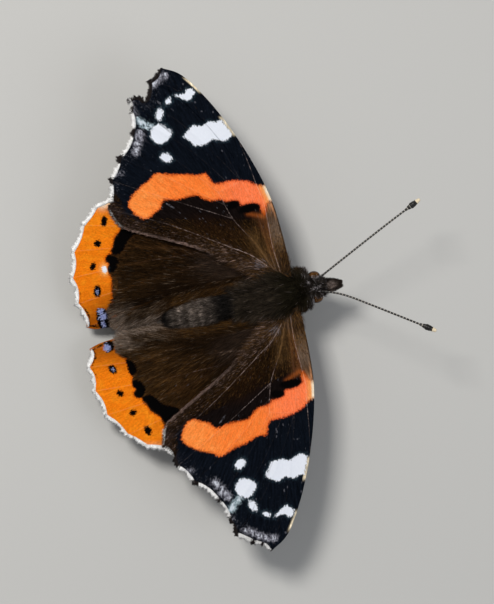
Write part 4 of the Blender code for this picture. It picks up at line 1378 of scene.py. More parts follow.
def make_thorax_coat(material):
    """Hair that lies back, and outwards over the flanks: back + outward + normal · lift + sideways · lean."""
    rng = np.random.default_rng(SEEDS["thorax"])
    x, angle = skin_roots(THORAX_TUFTS, -8.3, 1.9, rng)
    normal = body_normal(x, angle)
    outward = np.stack([np.zeros_like(x), np.cos(angle), 0.25 * np.sin(angle)], 1)
    sideways = np.stack([np.zeros_like(x), -np.sin(angle), np.cos(angle)], 1)
    collar = smoothstep(x, -0.6, 1.0)
    back = np.array([-1.0, 0, 0]) * (1 - 0.8 * collar)[:, None]
    flank = smoothstep(np.abs(np.cos(angle)), 0.35, 0.9)
    lift = rng.uniform(0.08, 0.38, len(x)) + 0.2 * flank + 0.3 * collar
    lean = 0.3 * lattice_noise(x * 1.1, angle * 4.5, 21)
    lie = back + 0.65 * outward * flank[:, None] + normal * lift[:, None] + sideways * lean[:, None]
    lie = unit(lie + rng.normal(0, 0.12, (len(x), 3)))
    length = rng.uniform(0.8, 1.5, len(x)) * (1 - 0.3 * collar) + 0.8 * flank * (1 - 0.75 * collar)
    roots = body_point(x, angle, -0.06)
    tips = roots + lie * length[:, None]
    arch = normal * (0.1 * length)[:, None]
    width = rng.uniform(0.026, 0.05, len(x))
    locks = 0.45 * lattice_noise(angle * 7.0, x * 0.8, 22) + 0.25 * lattice_noise(angle * 14.0, x * 2.4, 20)
    colour = body_colour(x, angle) * np.exp(locks)[:, None]
    fleck = (rng.random(len(x)) < 0.008 + 0.05 * flank) & (np.sin(angle) > 0.1)
    colour = mixed(colour, THORAX_FLECK, fleck)
    tones = tuft_tones(colour, rng, 0.33)
    parts = tuft_parts(roots, tips, arch, width, tones, skin_spot(x, angle), rings=3)
    put_coat("thorax_coat", parts, material)


def make_abdomen_coat(material):
    rng = np.random.default_rng(SEEDS["abdomen"])
    x, angle = skin_roots(ABDOMEN_TUFTS, -18.0, -7.6, rng)
    normal = body_normal(x, angle)
    lie = np.array([-1.0, 0, 0]) + normal * rng.uniform(0.1, 0.42, len(x))[:, None]
    lie = unit(lie + rng.normal(0, 0.17, (len(x), 3)))
    length = rng.uniform(0.4, 0.9, len(x))
    roots = body_point(x, angle, -0.04)
    tips = roots + lie * length[:, None]
    locks = 0.5 * lattice_noise(angle * 6.0, x * 1.6, 23) + 0.65 * lattice_noise(angle * 12.0, x * 3.2, 19)
    colour = tuft_tones(body_colour(x, angle) * np.exp(locks)[:, None], rng, 0.6)
    width = rng.uniform(0.022, 0.04, len(x))
    parts = tuft_parts(roots, tips, normal * 0.06, width, colour, skin_spot(x, angle))
    put_coat("abdomen_coat", parts, material)


def make_head_coat(material):
    """Short hair that stands up, leans forward at the face and outwards round the eyes, with ashy flecks."""
    rng = np.random.default_rng(SEEDS["head"])
    x, angle = skin_roots(HEAD_TUFTS, 1.0, 4.15, rng)
    reach = eye_reach(body_point(x, angle))
    clear = reach > 0.99
    x, angle, reach = x[clear], angle[clear], reach[clear]
    normal = body_normal(x, angle)
    forward = smoothstep(x, 2.6, 3.9)[:, None]
    brow = fade(reach, 1.15, 1.45) * smoothstep(np.sin(angle), -0.1, 0.3)
    sideways = np.stack([0 * x, np.sign(np.cos(angle)), 0 * x], 1)
    tangent = np.stack([0 * x, -np.sin(angle), np.cos(angle)], 1)
    lean = np.stack([lattice_noise(x * 3.2, angle * 3.6, seed) for seed in (30, 31)], 1) * 0.55
    lie = np.array([1.0, 0, 0]) * (forward * 1.5 - 0.6) + normal * 0.75 + sideways * (1.2 * brow)[:, None]
    lie = lie + np.array([1.0, 0, 0]) * lean[:, :1] + tangent * lean[:, 1:]
    cheek = fade(x, 2.2, 2.9) * smoothstep(np.abs(np.cos(angle)), 0.4, 0.8)
    lie = lie + sideways * (0.9 * cheek)[:, None]
    lie = unit(lie + rng.normal(0, 0.16, (len(x), 3)))
    length = rng.uniform(0.35, 0.75, len(x)) + 0.2 * brow + 0.8 * cheek
    roots = body_point(x, angle, -0.04)
    locks = 0.55 * lattice_noise(x * 3.2, angle * 3.6, 24) + 0.35 * lattice_noise(x * 7.0, angle * 8.0, 18)
    colour = body_colour(x, angle) * np.exp(locks)[:, None]
    near = [np.hypot(roots[:, 0] - fx, roots[:, 1] - fy) / size for fx, fy, size in HEAD_FLECKS]
    chance = 0.02 + 0.6 * np.exp(-(np.min(near, axis=0) ** 2)) + 0.16 * brow * (reach < 1.2)
    fleck = (rng.random(len(x)) < chance) & (np.sin(angle) > 0.0)
    colour = mixed(colour, ASH, fleck)
    width = rng.uniform(0.022, 0.04, len(x))
    tips = roots + lie * length[:, None]
    parts = tuft_parts(roots, tips, normal * 0.03, width, tuft_tones(colour, rng), skin_spot(x, angle))
    put_coat("head_coat", parts, material)


# %% [markdown]
# A butterfly's eye is a dome of thousands of facets. The dome is an ellipsoid set into the side of the
# head, and the facets are a fine mosaic in its bump and its tone. The surface is glossy, so the lamp
# gives it one highlight.

# %% The eyes
EYE_CENTRE = np.array([2.95, 1.42, -1.0])
EYE_RADII = np.array([0.9, 0.76, 1.08])
EYE_ROWS, EYE_SIDES = 40, 60
EYE_DARK, EYE_BROWN = (0.016, 0.006, 0.002), (0.12, 0.048, 0.007)


def eye_reach(points):
    """How far points are from the nearer eye's middle, as a share of the eye's own radius that way."""
    reaches = []
    for side in SIDES.values():
        centre = turned_head((EYE_CENTRE * (1, side, 1))[None])[0]
        reaches.append(np.linalg.norm((points - centre) / EYE_RADII, axis=-1))
    return np.minimum(*reaches)


def eye_finish():
    material, paint, shader = start_material("eye_facets", Roughness=0.26, Specular_IOR_Level=0.16)
    place = paint.node("TexCoord", out="Object")
    facet = place.cells(15000.0, out="Distance")
    tone = place.cells(15000.0)
    mottle = place.noise(1700.0, detail=3.0)
    shade = mottle.step(0.35, 0.7)
    feed(shader.inputs["Base Color"], shade.blend(EYE_DARK, EYE_BROWN).scaled(0.7 + 0.5 * tone))
    add_bump(shader, 1 - facet.step(0.2, 0.6), 0.25, 0.015)
    return material


def make_eyes(material):
    """The ellipsoid (-cos p, sin p · cos a, sin p · sin a) · radii + centre, turned with the head."""
    polar = np.linspace(0.04, math.pi - 0.04, EYE_ROWS)
    angle = np.linspace(0, 2 * math.pi, EYE_SIDES, endpoint=False)
    polar, angle = np.meshgrid(polar, angle, indexing="ij")
    dome = np.stack([-np.cos(polar), np.sin(polar) * np.cos(angle), np.sin(polar) * np.sin(angle)], -1)
    for word, side in SIDES.items():
        shape = closed_grid(turned_head(dome * EYE_RADII + EYE_CENTRE * (1, side, 1)))
        put("eye_dome_" + word, shape, material, ["eye_" + word])


# %% [markdown]
# The palps are two furry snouts that stand in front of the face, and between them the tongue is coiled
# like a watch spring. The feelers are black with a fine pale ring at each joint, fainter by the head, and
# end in a club with a cream tip.

# %% The palps
PALP_LINE = [(3.2, 0.5, -1.8), (4.2, 0.47, -1.6), (5.5, 0.4, -1.15), (6.5, 0.24, -0.8)]
PALP_RADII = [0.4, 0.44, 0.36, 0.12]
PALP_ROWS, PALP_SIDES, PALP_TUFTS = 40, 16, 3200
PROBOSCIS_CENTRE = (3.75, -3.35)
PROBOSCIS_TURNS = 2.3
PROBOSCIS_TIGHTEST, PROBOSCIS_WIDEST = 0.3, 1.16
ANTENNA_LINES = {
    "left": [
        (3.1, 0.7, -0.35), (4.1, 1.15, 0.45), (9.0, 3.5, 1.55), (14.3, 6.0, 2.35), (19.2, 8.2, 2.6),
    ],
    "right": [
        (3.1, -0.75, -0.35), (4.2, -1.05, 0.45), (6.6, -2.1, 1.1), (10.2, -4.5, 1.8), (17.4, -9.5, 2.6),
    ],
}
SHAFT_RADIUS, CLUB_RADIUS, CLUB_LENGTH, CLUB_TIP_RADIUS = 0.125, 0.4, 2.7, 0.2
JOINT_LENGTH, FEELER_SIDES = 0.46, 14
PALP_GREY, PALP_DARK = (0.19, 0.15, 0.132), (0.024, 0.018, 0.015)


def make_palps(material):
    """Each palp is a tube in a coat that grows forward, along + normal · a share, with a paler crest."""
    share = np.linspace(0, 1, PALP_ROWS)
    for word, side in SIDES.items():
        line = turned_head(evenly(smooth_line(np.array(PALP_LINE) * (1, side, 1), 0.1), PALP_ROWS))
        radii = np.interp(share, np.linspace(0, 1, 4), PALP_RADII)
        shape = closed_grid(tube_points(line, radii, PALP_SIDES))
        count = len(shape[0])
        notes = {"share": np.full(count, SKIN_SHARE), "coat": np.tile(PALP_DARK, (count, 1))}
        spots = tube_spots(PALP_ROWS, PALP_SIDES)
        put("palp_skin_" + word, shape, material, ["palp_" + word], notes, spots)
        rng = np.random.default_rng(SEEDS["palps"] + side)
        count = PALP_TUFTS
        t, turn = rng.random(count), rng.uniform(0, 2 * math.pi, count)
        along = unit(read_at(t, share, np.gradient(line, axis=0)))
        normal = square_to(along, turn)
        radius = np.interp(t, np.linspace(0, 1, 4), PALP_RADII)
        roots = read_at(t, share, line) + normal * (radius * 0.8)[:, None]
        lie = unit(along + normal * rng.uniform(0.12, 0.62, count)[:, None] + rng.normal(0, 0.12, (count, 3)))
        tips = roots + lie * (rng.uniform(0.4, 0.95, count) * (1 - 0.6 * t))[:, None]
        off_crest = np.abs(turn - math.pi / 2 - side * 0.5)
        dark = smoothstep(off_crest, 0.3, 1.1) + smoothstep(t, 0.6, 0.95)
        dark = dark + 0.35 * lattice_noise(t * 7.0, turn * 2.5, 25)
        dark = dark + 0.45 * lattice_noise(t * 5.0, turn * 9.0, 27)
        colour = mixed(PALP_GREY, PALP_DARK, np.clip(dark, 0, 1))
        width = rng.uniform(0.02, 0.036, count)
        spots = np.stack([t * 0.96 + 0.02, turn / 6.4], 1)
        parts = tuft_parts(roots, tips, normal * 0.03, width, tuft_tones(colour, rng, 0.5), spots)
        put_coat("palp_coat_" + word, parts, material)


# %% [markdown]
# Horn is smooth and dark. The tongue is one tube along a flat coil that tightens inwards. A feeler is a
# tube along a smooth line, and its rings are painted by the run of that line, so that there is one at
# each joint.

# %% Tongue and feelers
def horn_finish(name, colour, rings=None):
    """Smooth dark horn. With rings, bands of pale scales cross it at even steps along the note run."""
    material, paint, shader = start_material(name, Roughness=0.42, Specular_IOR_Level=0.4)
    place = paint.node("TexCoord", out="Object")
    tone = place.noise(3000.0, detail=3.0)
    base = tone.blend(colour, [0.45 * part for part in colour])
    if rings:
        run = paint.note("run")
        joint = (run / JOINT_LENGTH).math("FRACT", run / JOINT_LENGTH)
        ring = (1 - joint.step(0.19, 0.27)) * joint.step(0.0, 0.05) * paint.note("ringed")
        base = base.under(rings, ring)
        base = base.under(CREAM, paint.note("tipped").step(0.4, 0.6))
        add_bump(shader, joint.step(0.0, 0.12) * (1 - joint.step(0.85, 1.0)), 0.4, 0.03)
    feed(shader.inputs["Base Color"], base)
    return material


def make_tongue(material):
    """A coil in the middle plane: centre + reach · (-sin a, cos a), where the reach shrinks as it turns."""
    angle = np.linspace(0, PROBOSCIS_TURNS * 2 * math.pi, 150)
    reach = np.linspace(PROBOSCIS_WIDEST, PROBOSCIS_TIGHTEST, len(angle))
    x, z = PROBOSCIS_CENTRE
    coil = np.stack([x - reach * np.sin(angle + 0.35), 0 * angle, z + reach * np.cos(angle + 0.35)], 1)
    root = np.linspace((x - 0.55, 0, z + PROBOSCIS_WIDEST + 0.9), coil[0], 8)[:-1]
    line = turned_head(np.vstack([root, coil]))
    radii = np.interp(np.linspace(0, 1, len(line)), [0, 0.8, 1], [0.15, 0.11, 0.06])
    shape = closed_grid(tube_points(line, radii, 12, up=(0, 1, 0)))
    put("tongue", shape, material, ["proboscis"])


def round_tube(values):
    """One value for each ring of a closed feeler, repeated for its points, with the two ends last."""
    return np.concatenate([np.repeat(values, FEELER_SIDES), [values[0], values[-1]]])


def make_feelers(material):
    """A tube for each, whose radius swells to the club, and by a tenth between every two joints."""
    for word, points in ANTENNA_LINES.items():
        line = smooth_line(points, 0.06)
        run = run_of(line)
        left = run[-1] - run
        places = [0, 0.12, 0.5 * CLUB_LENGTH, CLUB_LENGTH]
        club = [CLUB_TIP_RADIUS * 0.6, CLUB_TIP_RADIUS * 1.3, CLUB_RADIUS, SHAFT_RADIUS]
        radii = np.interp(left, places, club)
        rounded = SHAFT_RADIUS + (radii - SHAFT_RADIUS) * smoothstep(radii, SHAFT_RADIUS - 0.1, CLUB_RADIUS)
        radii = np.where(left < CLUB_LENGTH, rounded, radii)
        radii = radii * (1 + 0.1 * np.sin(math.pi * (run / JOINT_LENGTH % 1)))
        notes = {
            "run": run,
            "ringed": (left > 0.6 * CLUB_LENGTH) * (0.12 + 0.88 * smoothstep(run, 0.8, 3.8)),
            "tipped": (left < 0.6) * 1.0,
        }
        notes = {name: round_tube(values) for name, values in notes.items()}
        shape = closed_grid(tube_points(line, radii, FEELER_SIDES))
        put("feeler_" + word, shape, material, ["antenna_" + word], notes)


# %% [markdown]
# Six legs: the front pair is short, folded and brush-like, and the other four carry the insect. A leg is
# a tube whose radius swells at the thigh and pinches at each joint of the foot, with rows of spines and
# two claws. The feet lie flat on the floor, where the solids' feet lie.

# %% The legs
FORELEG_LINE = [(0.3, 0.95, -2.6), (1.0, 1.1, -4.0), (2.3, 1.2, -4.5), (3.3, 1.1, -3.75)]
HIPS = {"midleg": (-1.4, 1.4, -2.8), "hindleg": (-4.0, 1.3, -2.8)}
KNEES = {"midleg": (-1.2, 5.6, -2.5), "hindleg": (-7.9, 5.4, -2.2)}
ANKLES = {"midleg": (-1.9, 8.3), "hindleg": (-11.8, 8.0)}
TOES = {"midleg": (-1.3, 11.6), "hindleg": (-15.2, 9.6)}
FOOT_RADIUS = 0.12
LEG_SIDES, LEG_SPINES, BRUSH_SPINES = 14, 620, 1300
LEG_BUFF, LEG_DARK, FORELEG_BROWN = (0.17, 0.11, 0.065), (0.03, 0.02, 0.014), (0.06, 0.045, 0.035)


def between(a, b, share):
    """a + (b - a) · share."""
    return a + (b - a) * share


def leg_line(leg, side):
    """From hip to knee to ankle in the air, then along the floor to the toe: one smooth line in the world."""
    hip, knee = (standing(np.array(part[leg]) * (1, side, 1)) for part in (HIPS, KNEES))
    ankle, toe = (standing((part[leg][0], side * part[leg][1], -STAND_HEIGHT)) for part in (ANKLES, TOES))
    ankle[2] = toe[2] = FOOT_RADIUS + 0.02
    lift = np.array([0, 0, 0.25])
    points = [hip, between(hip, knee, 0.5) + lift, between(hip, knee, 0.93), between(knee, ankle, 0.06)]
    points += [between(knee, ankle, 0.5), between(knee, ankle, 0.93) + lift / 2]
    points += [between(ankle, toe, share) for share in (0.08, 0.35, 0.7, 1.0)]
    return smooth_line(points, 0.08)


def leg_parts(line, radii, colours, spines, rng, spine_length, up=(1, 0, 0)):
    """A tube, and the spines all round it: two lots of points, faces, shares, colours and map spots."""
    share = np.linspace(0.02, 0.98, len(line))
    skin = closed_grid(tube_points(line, radii, LEG_SIDES, up=up))
    coat = np.vstack([np.repeat(colours, LEG_SIDES, 0), colours[0], colours[-1]])
    tube = *skin, np.full(len(coat), 0.4), coat, tube_spots(len(line), LEG_SIDES)
    index = rng.integers(3, len(line) - 4, spines)
    turn = rng.uniform(0, 2 * math.pi, spines)
    along = unit(np.gradient(line, axis=0))[index]
    normal = square_to(along, turn, up)
    roots = line[index] + normal * (radii[index] * 0.85)[:, None]
    lie = unit(along + normal * rng.uniform(0.35, 0.8, spines)[:, None] + rng.normal(0, 0.1, (spines, 3)))
    tips = roots + lie * (spine_length[index] * rng.uniform(0.7, 1.2, spines))[:, None]
    tips[:, 2] = np.maximum(tips[:, 2], 0.02)
    width = rng.uniform(0.018, 0.032, spines)
    tones = colours[index] * rng.uniform(0.6, 1.5, (spines, 1))
    spots = np.stack([share[index], turn / 6.4], 1)
    return [tube, tuft_parts(roots, tips, normal * 0.02, width, tones, spots)]


def make_legs(material):
    """The four walking legs, whose radius pinches at the joints of the foot, and the two small front ones."""
    for word, side in SIDES.items():
        for leg in HIPS:
            rng = np.random.default_rng(SEEDS["legs"] + side + len(leg))
            line = leg_line(leg, side)
            share = run_of(line) / run_of(line)[-1]
            ankle = share[np.argmax(line[:, 2] < 0.25)]
            places = [0, 0.12, 0.3, 0.4, 0.44, 0.6, ankle, ankle + 0.02, 1]
            radii = np.interp(share, places, [0.3, 0.36, 0.26, 0.17, 0.2, 0.17, 0.14, FOOT_RADIUS, 0.09])
            toes = np.clip((share - ankle) / (1 - ankle), 0, 1)
            radii = radii * (1 - 0.22 * (toes > 0) * np.abs(np.cos(math.pi * toes * 5)) ** 3)
            spine_length = np.interp(share, [0, 0.35, 0.5, ankle, 1], [0.5, 0.35, 0.3, 0.24, 0.16])
            colours = mixed(LEG_DARK, LEG_BUFF, smoothstep(share, 0.1, 0.45))
            parts = [*leg_parts(line, radii, colours, LEG_SPINES, rng, spine_length), claw_parts(line)]
            put_coat(f"{leg}_{word}_haired", joined(parts), material, [f"{leg}_{word}"], in_world=True)
        rng = np.random.default_rng(SEEDS["forelegs"] + side)
        line = standing(smooth_line(np.array(FORELEG_LINE) * (1, side, 1), 0.08))
        share = np.linspace(0, 1, len(line))
        radii = np.interp(share, [0, 0.3, 0.7, 1], [0.26, 0.28, 0.18, 0.1])
        spine_length = np.interp(share, [0, 1], [0.5, 0.35])
        colours = np.tile(FORELEG_BROWN, (len(line), 1))
        parts = leg_parts(line, radii, colours, BRUSH_SPINES, rng, spine_length, up=(0, 1, 0))
        put_coat(f"foreleg_{word}_haired", joined(parts), material, ["foreleg_" + word], in_world=True)


def claw_parts(line):
    """Two small hooks at the end of a foot, spread to either side."""
    toe, along = line[-1], unit(line[-1] - line[-6])
    across = unit(np.cross((0, 0, 1), along))
    roots = np.stack([toe - along * 0.05 + across * apart for apart in (0.04, -0.04)])
    tips = np.stack([toe + along * 0.2 + across * apart for apart in (0.14, -0.14)])
    tips[:, 2] = 0.02
    arch, spots = np.tile([0, 0, 0.06], (2, 1)), np.full((2, 2), 0.97)
    return tuft_parts(roots, tips, arch, np.full(2, 0.045), np.tile(LEG_DARK, (2, 1)), spots, rings=3)


# %% [markdown]
# The margin of each wing carries a fringe of long narrow scales. It is white between the ends of the
# veins and dark or greyer at them, and that is what makes the edge look scalloped in white. The blades
# run from the membrane's edge out to the drawn margin. The tear in the left fore wing has no white
# blades.

# %% The fringe
FRINGE_BLADES = 4200
FRINGE_WHITE, FRINGE_DARK = (0.95, 0.95, 0.95), (0.02, 0.016, 0.016)
FORE_WHITES = {
    LEFT: [
        ((-16.25, 29.8), (-15.95, 29.1), 0.9), ((-16.25, 28.0), (-16.1, 26.4), 1.0),
        ((-17.0, 25.1), (-18.7, 23.2), 1.0), ((-19.3, 22.0), (-20.6, 20.5), 1.0),
        ((-21.4, 19.2), (-21.4, 17.2), 1.0), ((-21.9, 16.2), (-20.4, 13.5), 0.4),
    ],
    RIGHT: [
        ((-11.0, 33.2), (-11.7, 32.7), 0.75), ((-12.3, 32.4), (-12.8, 32.0), 0.75),
        ((-13.5, 31.5), (-14.7, 30.6), 0.85), ((-15.6, 27.4), (-16.1, 25.7), 0.9),
        ((-16.8, 24.9), (-18.3, 23.0), 1.0), ((-19.3, 21.7), (-20.6, 20.0), 1.0),
        ((-21.2, 18.0), (-21.9, 16.6), 1.0), ((-21.9, 16.2), (-21.1, 14.0), 0.9),
    ],
}


def white_runs(margin, at, stretches):
    """The whiteness at places along a margin: 0 but on the stretches, each given by its ends and strength."""
    run = run_of(margin)
    share = np.zeros(len(at))
    for start, end, strength in stretches:
        a, b = (run[np.argmin(np.linalg.norm(margin - place, axis=1))] for place in (start, end))
        share = np.maximum(share, strength * smoothstep(at, a - 0.14, a) * fade(at, b, b + 0.14))
    return share


def fore_fringe_line(side):
    """The outer margin, run on a little way round its last corner along the inner margin."""
    margin = fore_margin(side)
    inner = smooth_line([tuple(margin[-1])] + FORE_INNER[:3], 0.3)
    return np.vstack([margin, inner[1:13]])


def fore_white(at, rim, line, side):
    """The whiteness of the fore wing's blades, from the listed white stretches."""
    return white_runs(line, at, FORE_WHITES[side])


def hind_white(at, rim, line, side):
    """The whiteness of the hind wing's blades: 1, less half of exp(-(distance to a vein's tip / 0.15)²)."""
    nearest = np.min(np.linalg.norm(rim[:, None] - line[None, ::SCALLOP_STEPS], axis=-1), 1)
    return 1 - 0.5 * bell(nearest, 0.15)


FRINGES = {
    "forewing": (fore_margin, fore_fringe_line, fore_white),
    "hindwing": (hind_margin, hind_margin, hind_white),
}


def make_fringe(kind, word, rng, material):
    """Blades square to the margin, in ragged bunches. Past the margin's last corner they are short."""
    wing, side, count = WINGS[kind], SIDES[word], FRINGE_BLADES
    outer, whole, whites = FRINGES[kind]
    line = whole(side)
    run, corner = run_of(line), run_of(outer(side))[-1]
    at = rng.uniform(0.02, run[-1] - 0.02, count)
    rim = read_at(at, run, line)
    along = unit(read_at(at, run, np.gradient(line, axis=0)))
    outward = np.stack([along[:, 1], -along[:, 0]], 1)
    lean = along * 0.3 * lattice_noise(at * 3.1, at * 0, 28)[:, None]
    outward = unit(outward + rng.normal(0, 0.2, (count, 2)) + lean)
    bunch = 0.19 * lattice_noise(at * 2.8, at * 0 + side, 26)
    bunch = bunch + 0.17 * lattice_noise(at * 6.3, at * 0 + side, 17)
    depth = FRINGE * smoothstep(at, 0, 1.2) * (0.3 + 0.7 * smoothstep(corner - at, -0.3, 1.0))
    roots = rim - outward * (depth + 0.1 + 0.08 * rng.random(count))[:, None]
    tips = rim + outward * (rng.uniform(-0.3, 0.04, count) + bunch)[:, None]
    white = whites(at + rng.normal(0, 0.07, count), rim, line, side)
    root_z = wing["height"](roots) + rng.uniform(-0.04, 0.08, count)
    tip_z = wing["height"](tips) + rng.uniform(-0.06, 0.05, count)
    spots = np.stack([0.01 + 0.98 * at / run[-1], rng.uniform(0.1, 0.9, count)], 1)
    width = rng.uniform(0.03, 0.06, count)
    tones = mixed(FRINGE_DARK, FRINGE_WHITE, white) * rng.uniform(0.9, 1.1, (count, 1))
    ends = on_side(wing, side, roots, root_z), on_side(wing, side, tips, tip_z)
    parts = tuft_parts(*ends, np.zeros((count, 3)), width, tones, spots, taper=0.5)
    put_coat(f"{kind}_fringe_{word}", parts, material)


def make_fringes(material):
    for word, side in SIDES.items():
        rng = np.random.default_rng(SEEDS["fringe"] + side)
        for kind in WINGS:
            make_fringe(kind, word, rng, material)


# %% [markdown]
# Long hair lies on the wings near the body. On the hind wings it is brown, runs back along the abdomen
# and meets its fellow from the other side behind the abdomen's tip, in a paler seam. On the fore wings it
# is a golden down at the root, with pale grey wisps where the wings join the thorax. Each hair's root and
# tip both keep to the wing's own surface, but for the hair of the inner folds, which rises to close over
# the abdomen's sides.

# %% Hair on the wings
HAIR_DARK, HAIR_BROWN, HAIR_GOLD = (0.0145, 0.0073, 0.003), (0.054, 0.0275, 0.0105), (0.11, 0.053, 0.015)
HAIR_TAN, HAIR_SEAM, ROOT_LILAC = (0.14, 0.1, 0.07), (0.27, 0.21, 0.17), (0.2, 0.175, 0.19)
# Painted glints: the rear hair of the right hind wing is painted lighter and golder than the left's, as if it
# caught more light.
REAR_GLINT = {LEFT: 0.4, RIGHT: 1.4}
HIND_HAIRS, FLANK_HAIRS, FORE_DOWN, FORE_EDGE_HAIRS = 16000, 7500, 11000, 6000


def at_patch(grid, u, v):
    """Points at shares u from the root and v from the front edge, between the four nearest of the grid."""
    i, j = u * (grid.shape[0] - 1.001), v * (grid.shape[1] - 1.001)
    i0, j0 = i.astype(int), j.astype(int)
    fi, fj = (i - i0)[:, None], (j - j0)[:, None]
    near = grid[i0, j0] * (1 - fj) + grid[i0, j0 + 1] * fj
    far = grid[i0 + 1, j0] * (1 - fj) + grid[i0 + 1, j0 + 1] * fj
    return near * (1 - fi) + far * fi


def wing_locks(roots, seed, amount):
    """Tone of the locks: streaks a third of a millimetre wide and two long, run out from the wing's root."""
    dx, dy = roots[:, 0] - HIND_PIVOT[0], roots[:, 1] - HIND_PIVOT[1]
    across, reach = np.arctan2(dy, -dx) * 16.0, np.hypot(dx, dy)
    coarse = lattice_noise(across / 0.7, reach / 4.0, seed)
    return np.exp(amount * (lattice_noise(across / 0.28, reach / 2.2, seed + 1) + 0.6 * coarse))[:, None]


def wing_hair(kind, word, roots, lie, length, hover, width, colour, spots, rng, material):
    """Hair along a flat direction: both ends sit on the wing's upper face, the tip a little above it."""
    wing, side = WINGS[kind], SIDES[word]
    tips = roots + lie * length[:, None]
    start = on_side(wing, side, roots, wing["height"](roots) + HALF_THICK * 0.3)
    end = on_side(wing, side, tips, wing["height"](tips) + HALF_THICK + hover)
    arch = np.column_stack([np.zeros((len(roots), 2)), 0.05 + 0.4 * hover])
    parts = tuft_parts(start, end, arch, width, tuft_tones(colour, rng, 0.4), spots)
    put_coat(f"{kind}_hair_{word}", parts, material)


# %% Hair on the hind wings
def make_hind_hair(material):
    """Brown hair up to the band, thickest by the inner margin, each hair no longer than the room it has."""
    for word, side in SIDES.items():
        grid = hind_patch(side)
        rng = np.random.default_rng(SEEDS["hind_hair"] + side)
        u, v = rng.uniform(0.03, 0.9, HIND_HAIRS), 1 - rng.beta(1.0, 2.0, HIND_HAIRS) * 0.85
        roots = at_patch(grid, u, v)
        low_end = fade(roots[:, 1], 2.6, 5.0)
        room = -np.maximum(shapes_by(roots, [HIND_BAND]) - 1.2 * low_end, shapes_by(roots, HIND_BLOTCHES))
        keep = (room > 0.3) & (roots[:, 0] < -5.0)
        u, v, roots, room = (values[keep] for values in (u, v, roots, room))
        x, y, count = roots[:, 0], roots[:, 1], len(roots)
        gap = distance_to(roots, [grid[:, -1]])
        inward = bell(gap, 1.4) * smoothstep(-x, 13.5, 19.0)
        bend = 0.12 * lattice_noise(x * 0.5, y * 1.6, 33)
        lie = unit(roots - HIND_PIVOT) + np.column_stack([0 * gap, bend - 0.42 * inward])
        lie = unit(lie + rng.normal(0, 0.07, (count, 2)))
        length = rng.uniform(1.2, 2.6, count) * (1 - 0.35 * smoothstep(gap, 2.0, 5.0))
        length = np.minimum(length, room + 0.4 * rng.random(count))
        hover = rng.uniform(0.02, 0.16, count) + 0.3 * bell(gap, 0.8)
        rear = smoothstep(-x + 2 * rng.normal(0, 1, count), 10, 21)
        patchy = 0.5 + 0.5 * lattice_noise(x * 0.33, y * 0.5, 34)
        near, far_rear = fade(gap, 2.0, 5.0), smoothstep(-x, 19.0, 23.0)
        gold = 0.75 * rear * patchy * smoothstep(gap, 1.5, 4.0) * fade(y, 9.5, 12.5)
        # The side's painted glint lifts the gold and the brown of the rear hair.
        gold = gold * np.maximum(REAR_GLINT[side], far_rear) * (1 - near * (1 - far_rear))
        tone = REAR_GLINT[side] + (1 - REAR_GLINT[side]) * near * far_rear
        brown = rear * (0.55 + 0.45 * patchy) * tone * (0.15 + 0.85 * np.maximum(1 - near, far_rear))
        pale = bell(gap, 0.45) * smoothstep(-x, 15.5, 18.5) * 0.8
        corner = smoothstep(-x, 19.5, 22.5) * fade(y, 1.6, 3.6) * 0.7
        colour = layered(
            HAIR_DARK,
            (HAIR_BROWN, np.clip(brown, 0, 1)),
            (HAIR_GOLD, np.clip(gold, 0, 1) * rng.random(count)),
            (HAIR_TAN, rng.random(count) < 0.025 + 0.28 * far_rear * near),
        )
        colour = layered(
            colour * wing_locks(roots, 27 + side, 0.5),
            (ROOT_VEIL, 0.35 * blot(roots, HIND_STROKE, 1.5)),
            (HAIR_SEAM, np.maximum(pale, corner) * (rng.random(count) < 0.75)),
        )
        width = rng.uniform(0.022, 0.04, count)
        wing_hair("hindwing", word, roots, lie, length, hover, width, colour, map_spot(u, v), rng, material)


# %% Hair of the inner folds
def skin_top(x, y):
    """Height of the body's upper side: centre + half height · sqrt(1 - (y / half width)²)."""
    width, height, centre = body_rows(x)
    return centre + height * np.sqrt(np.clip(1 - (y / np.maximum(width, 0.05)) ** 2, 0, 1))


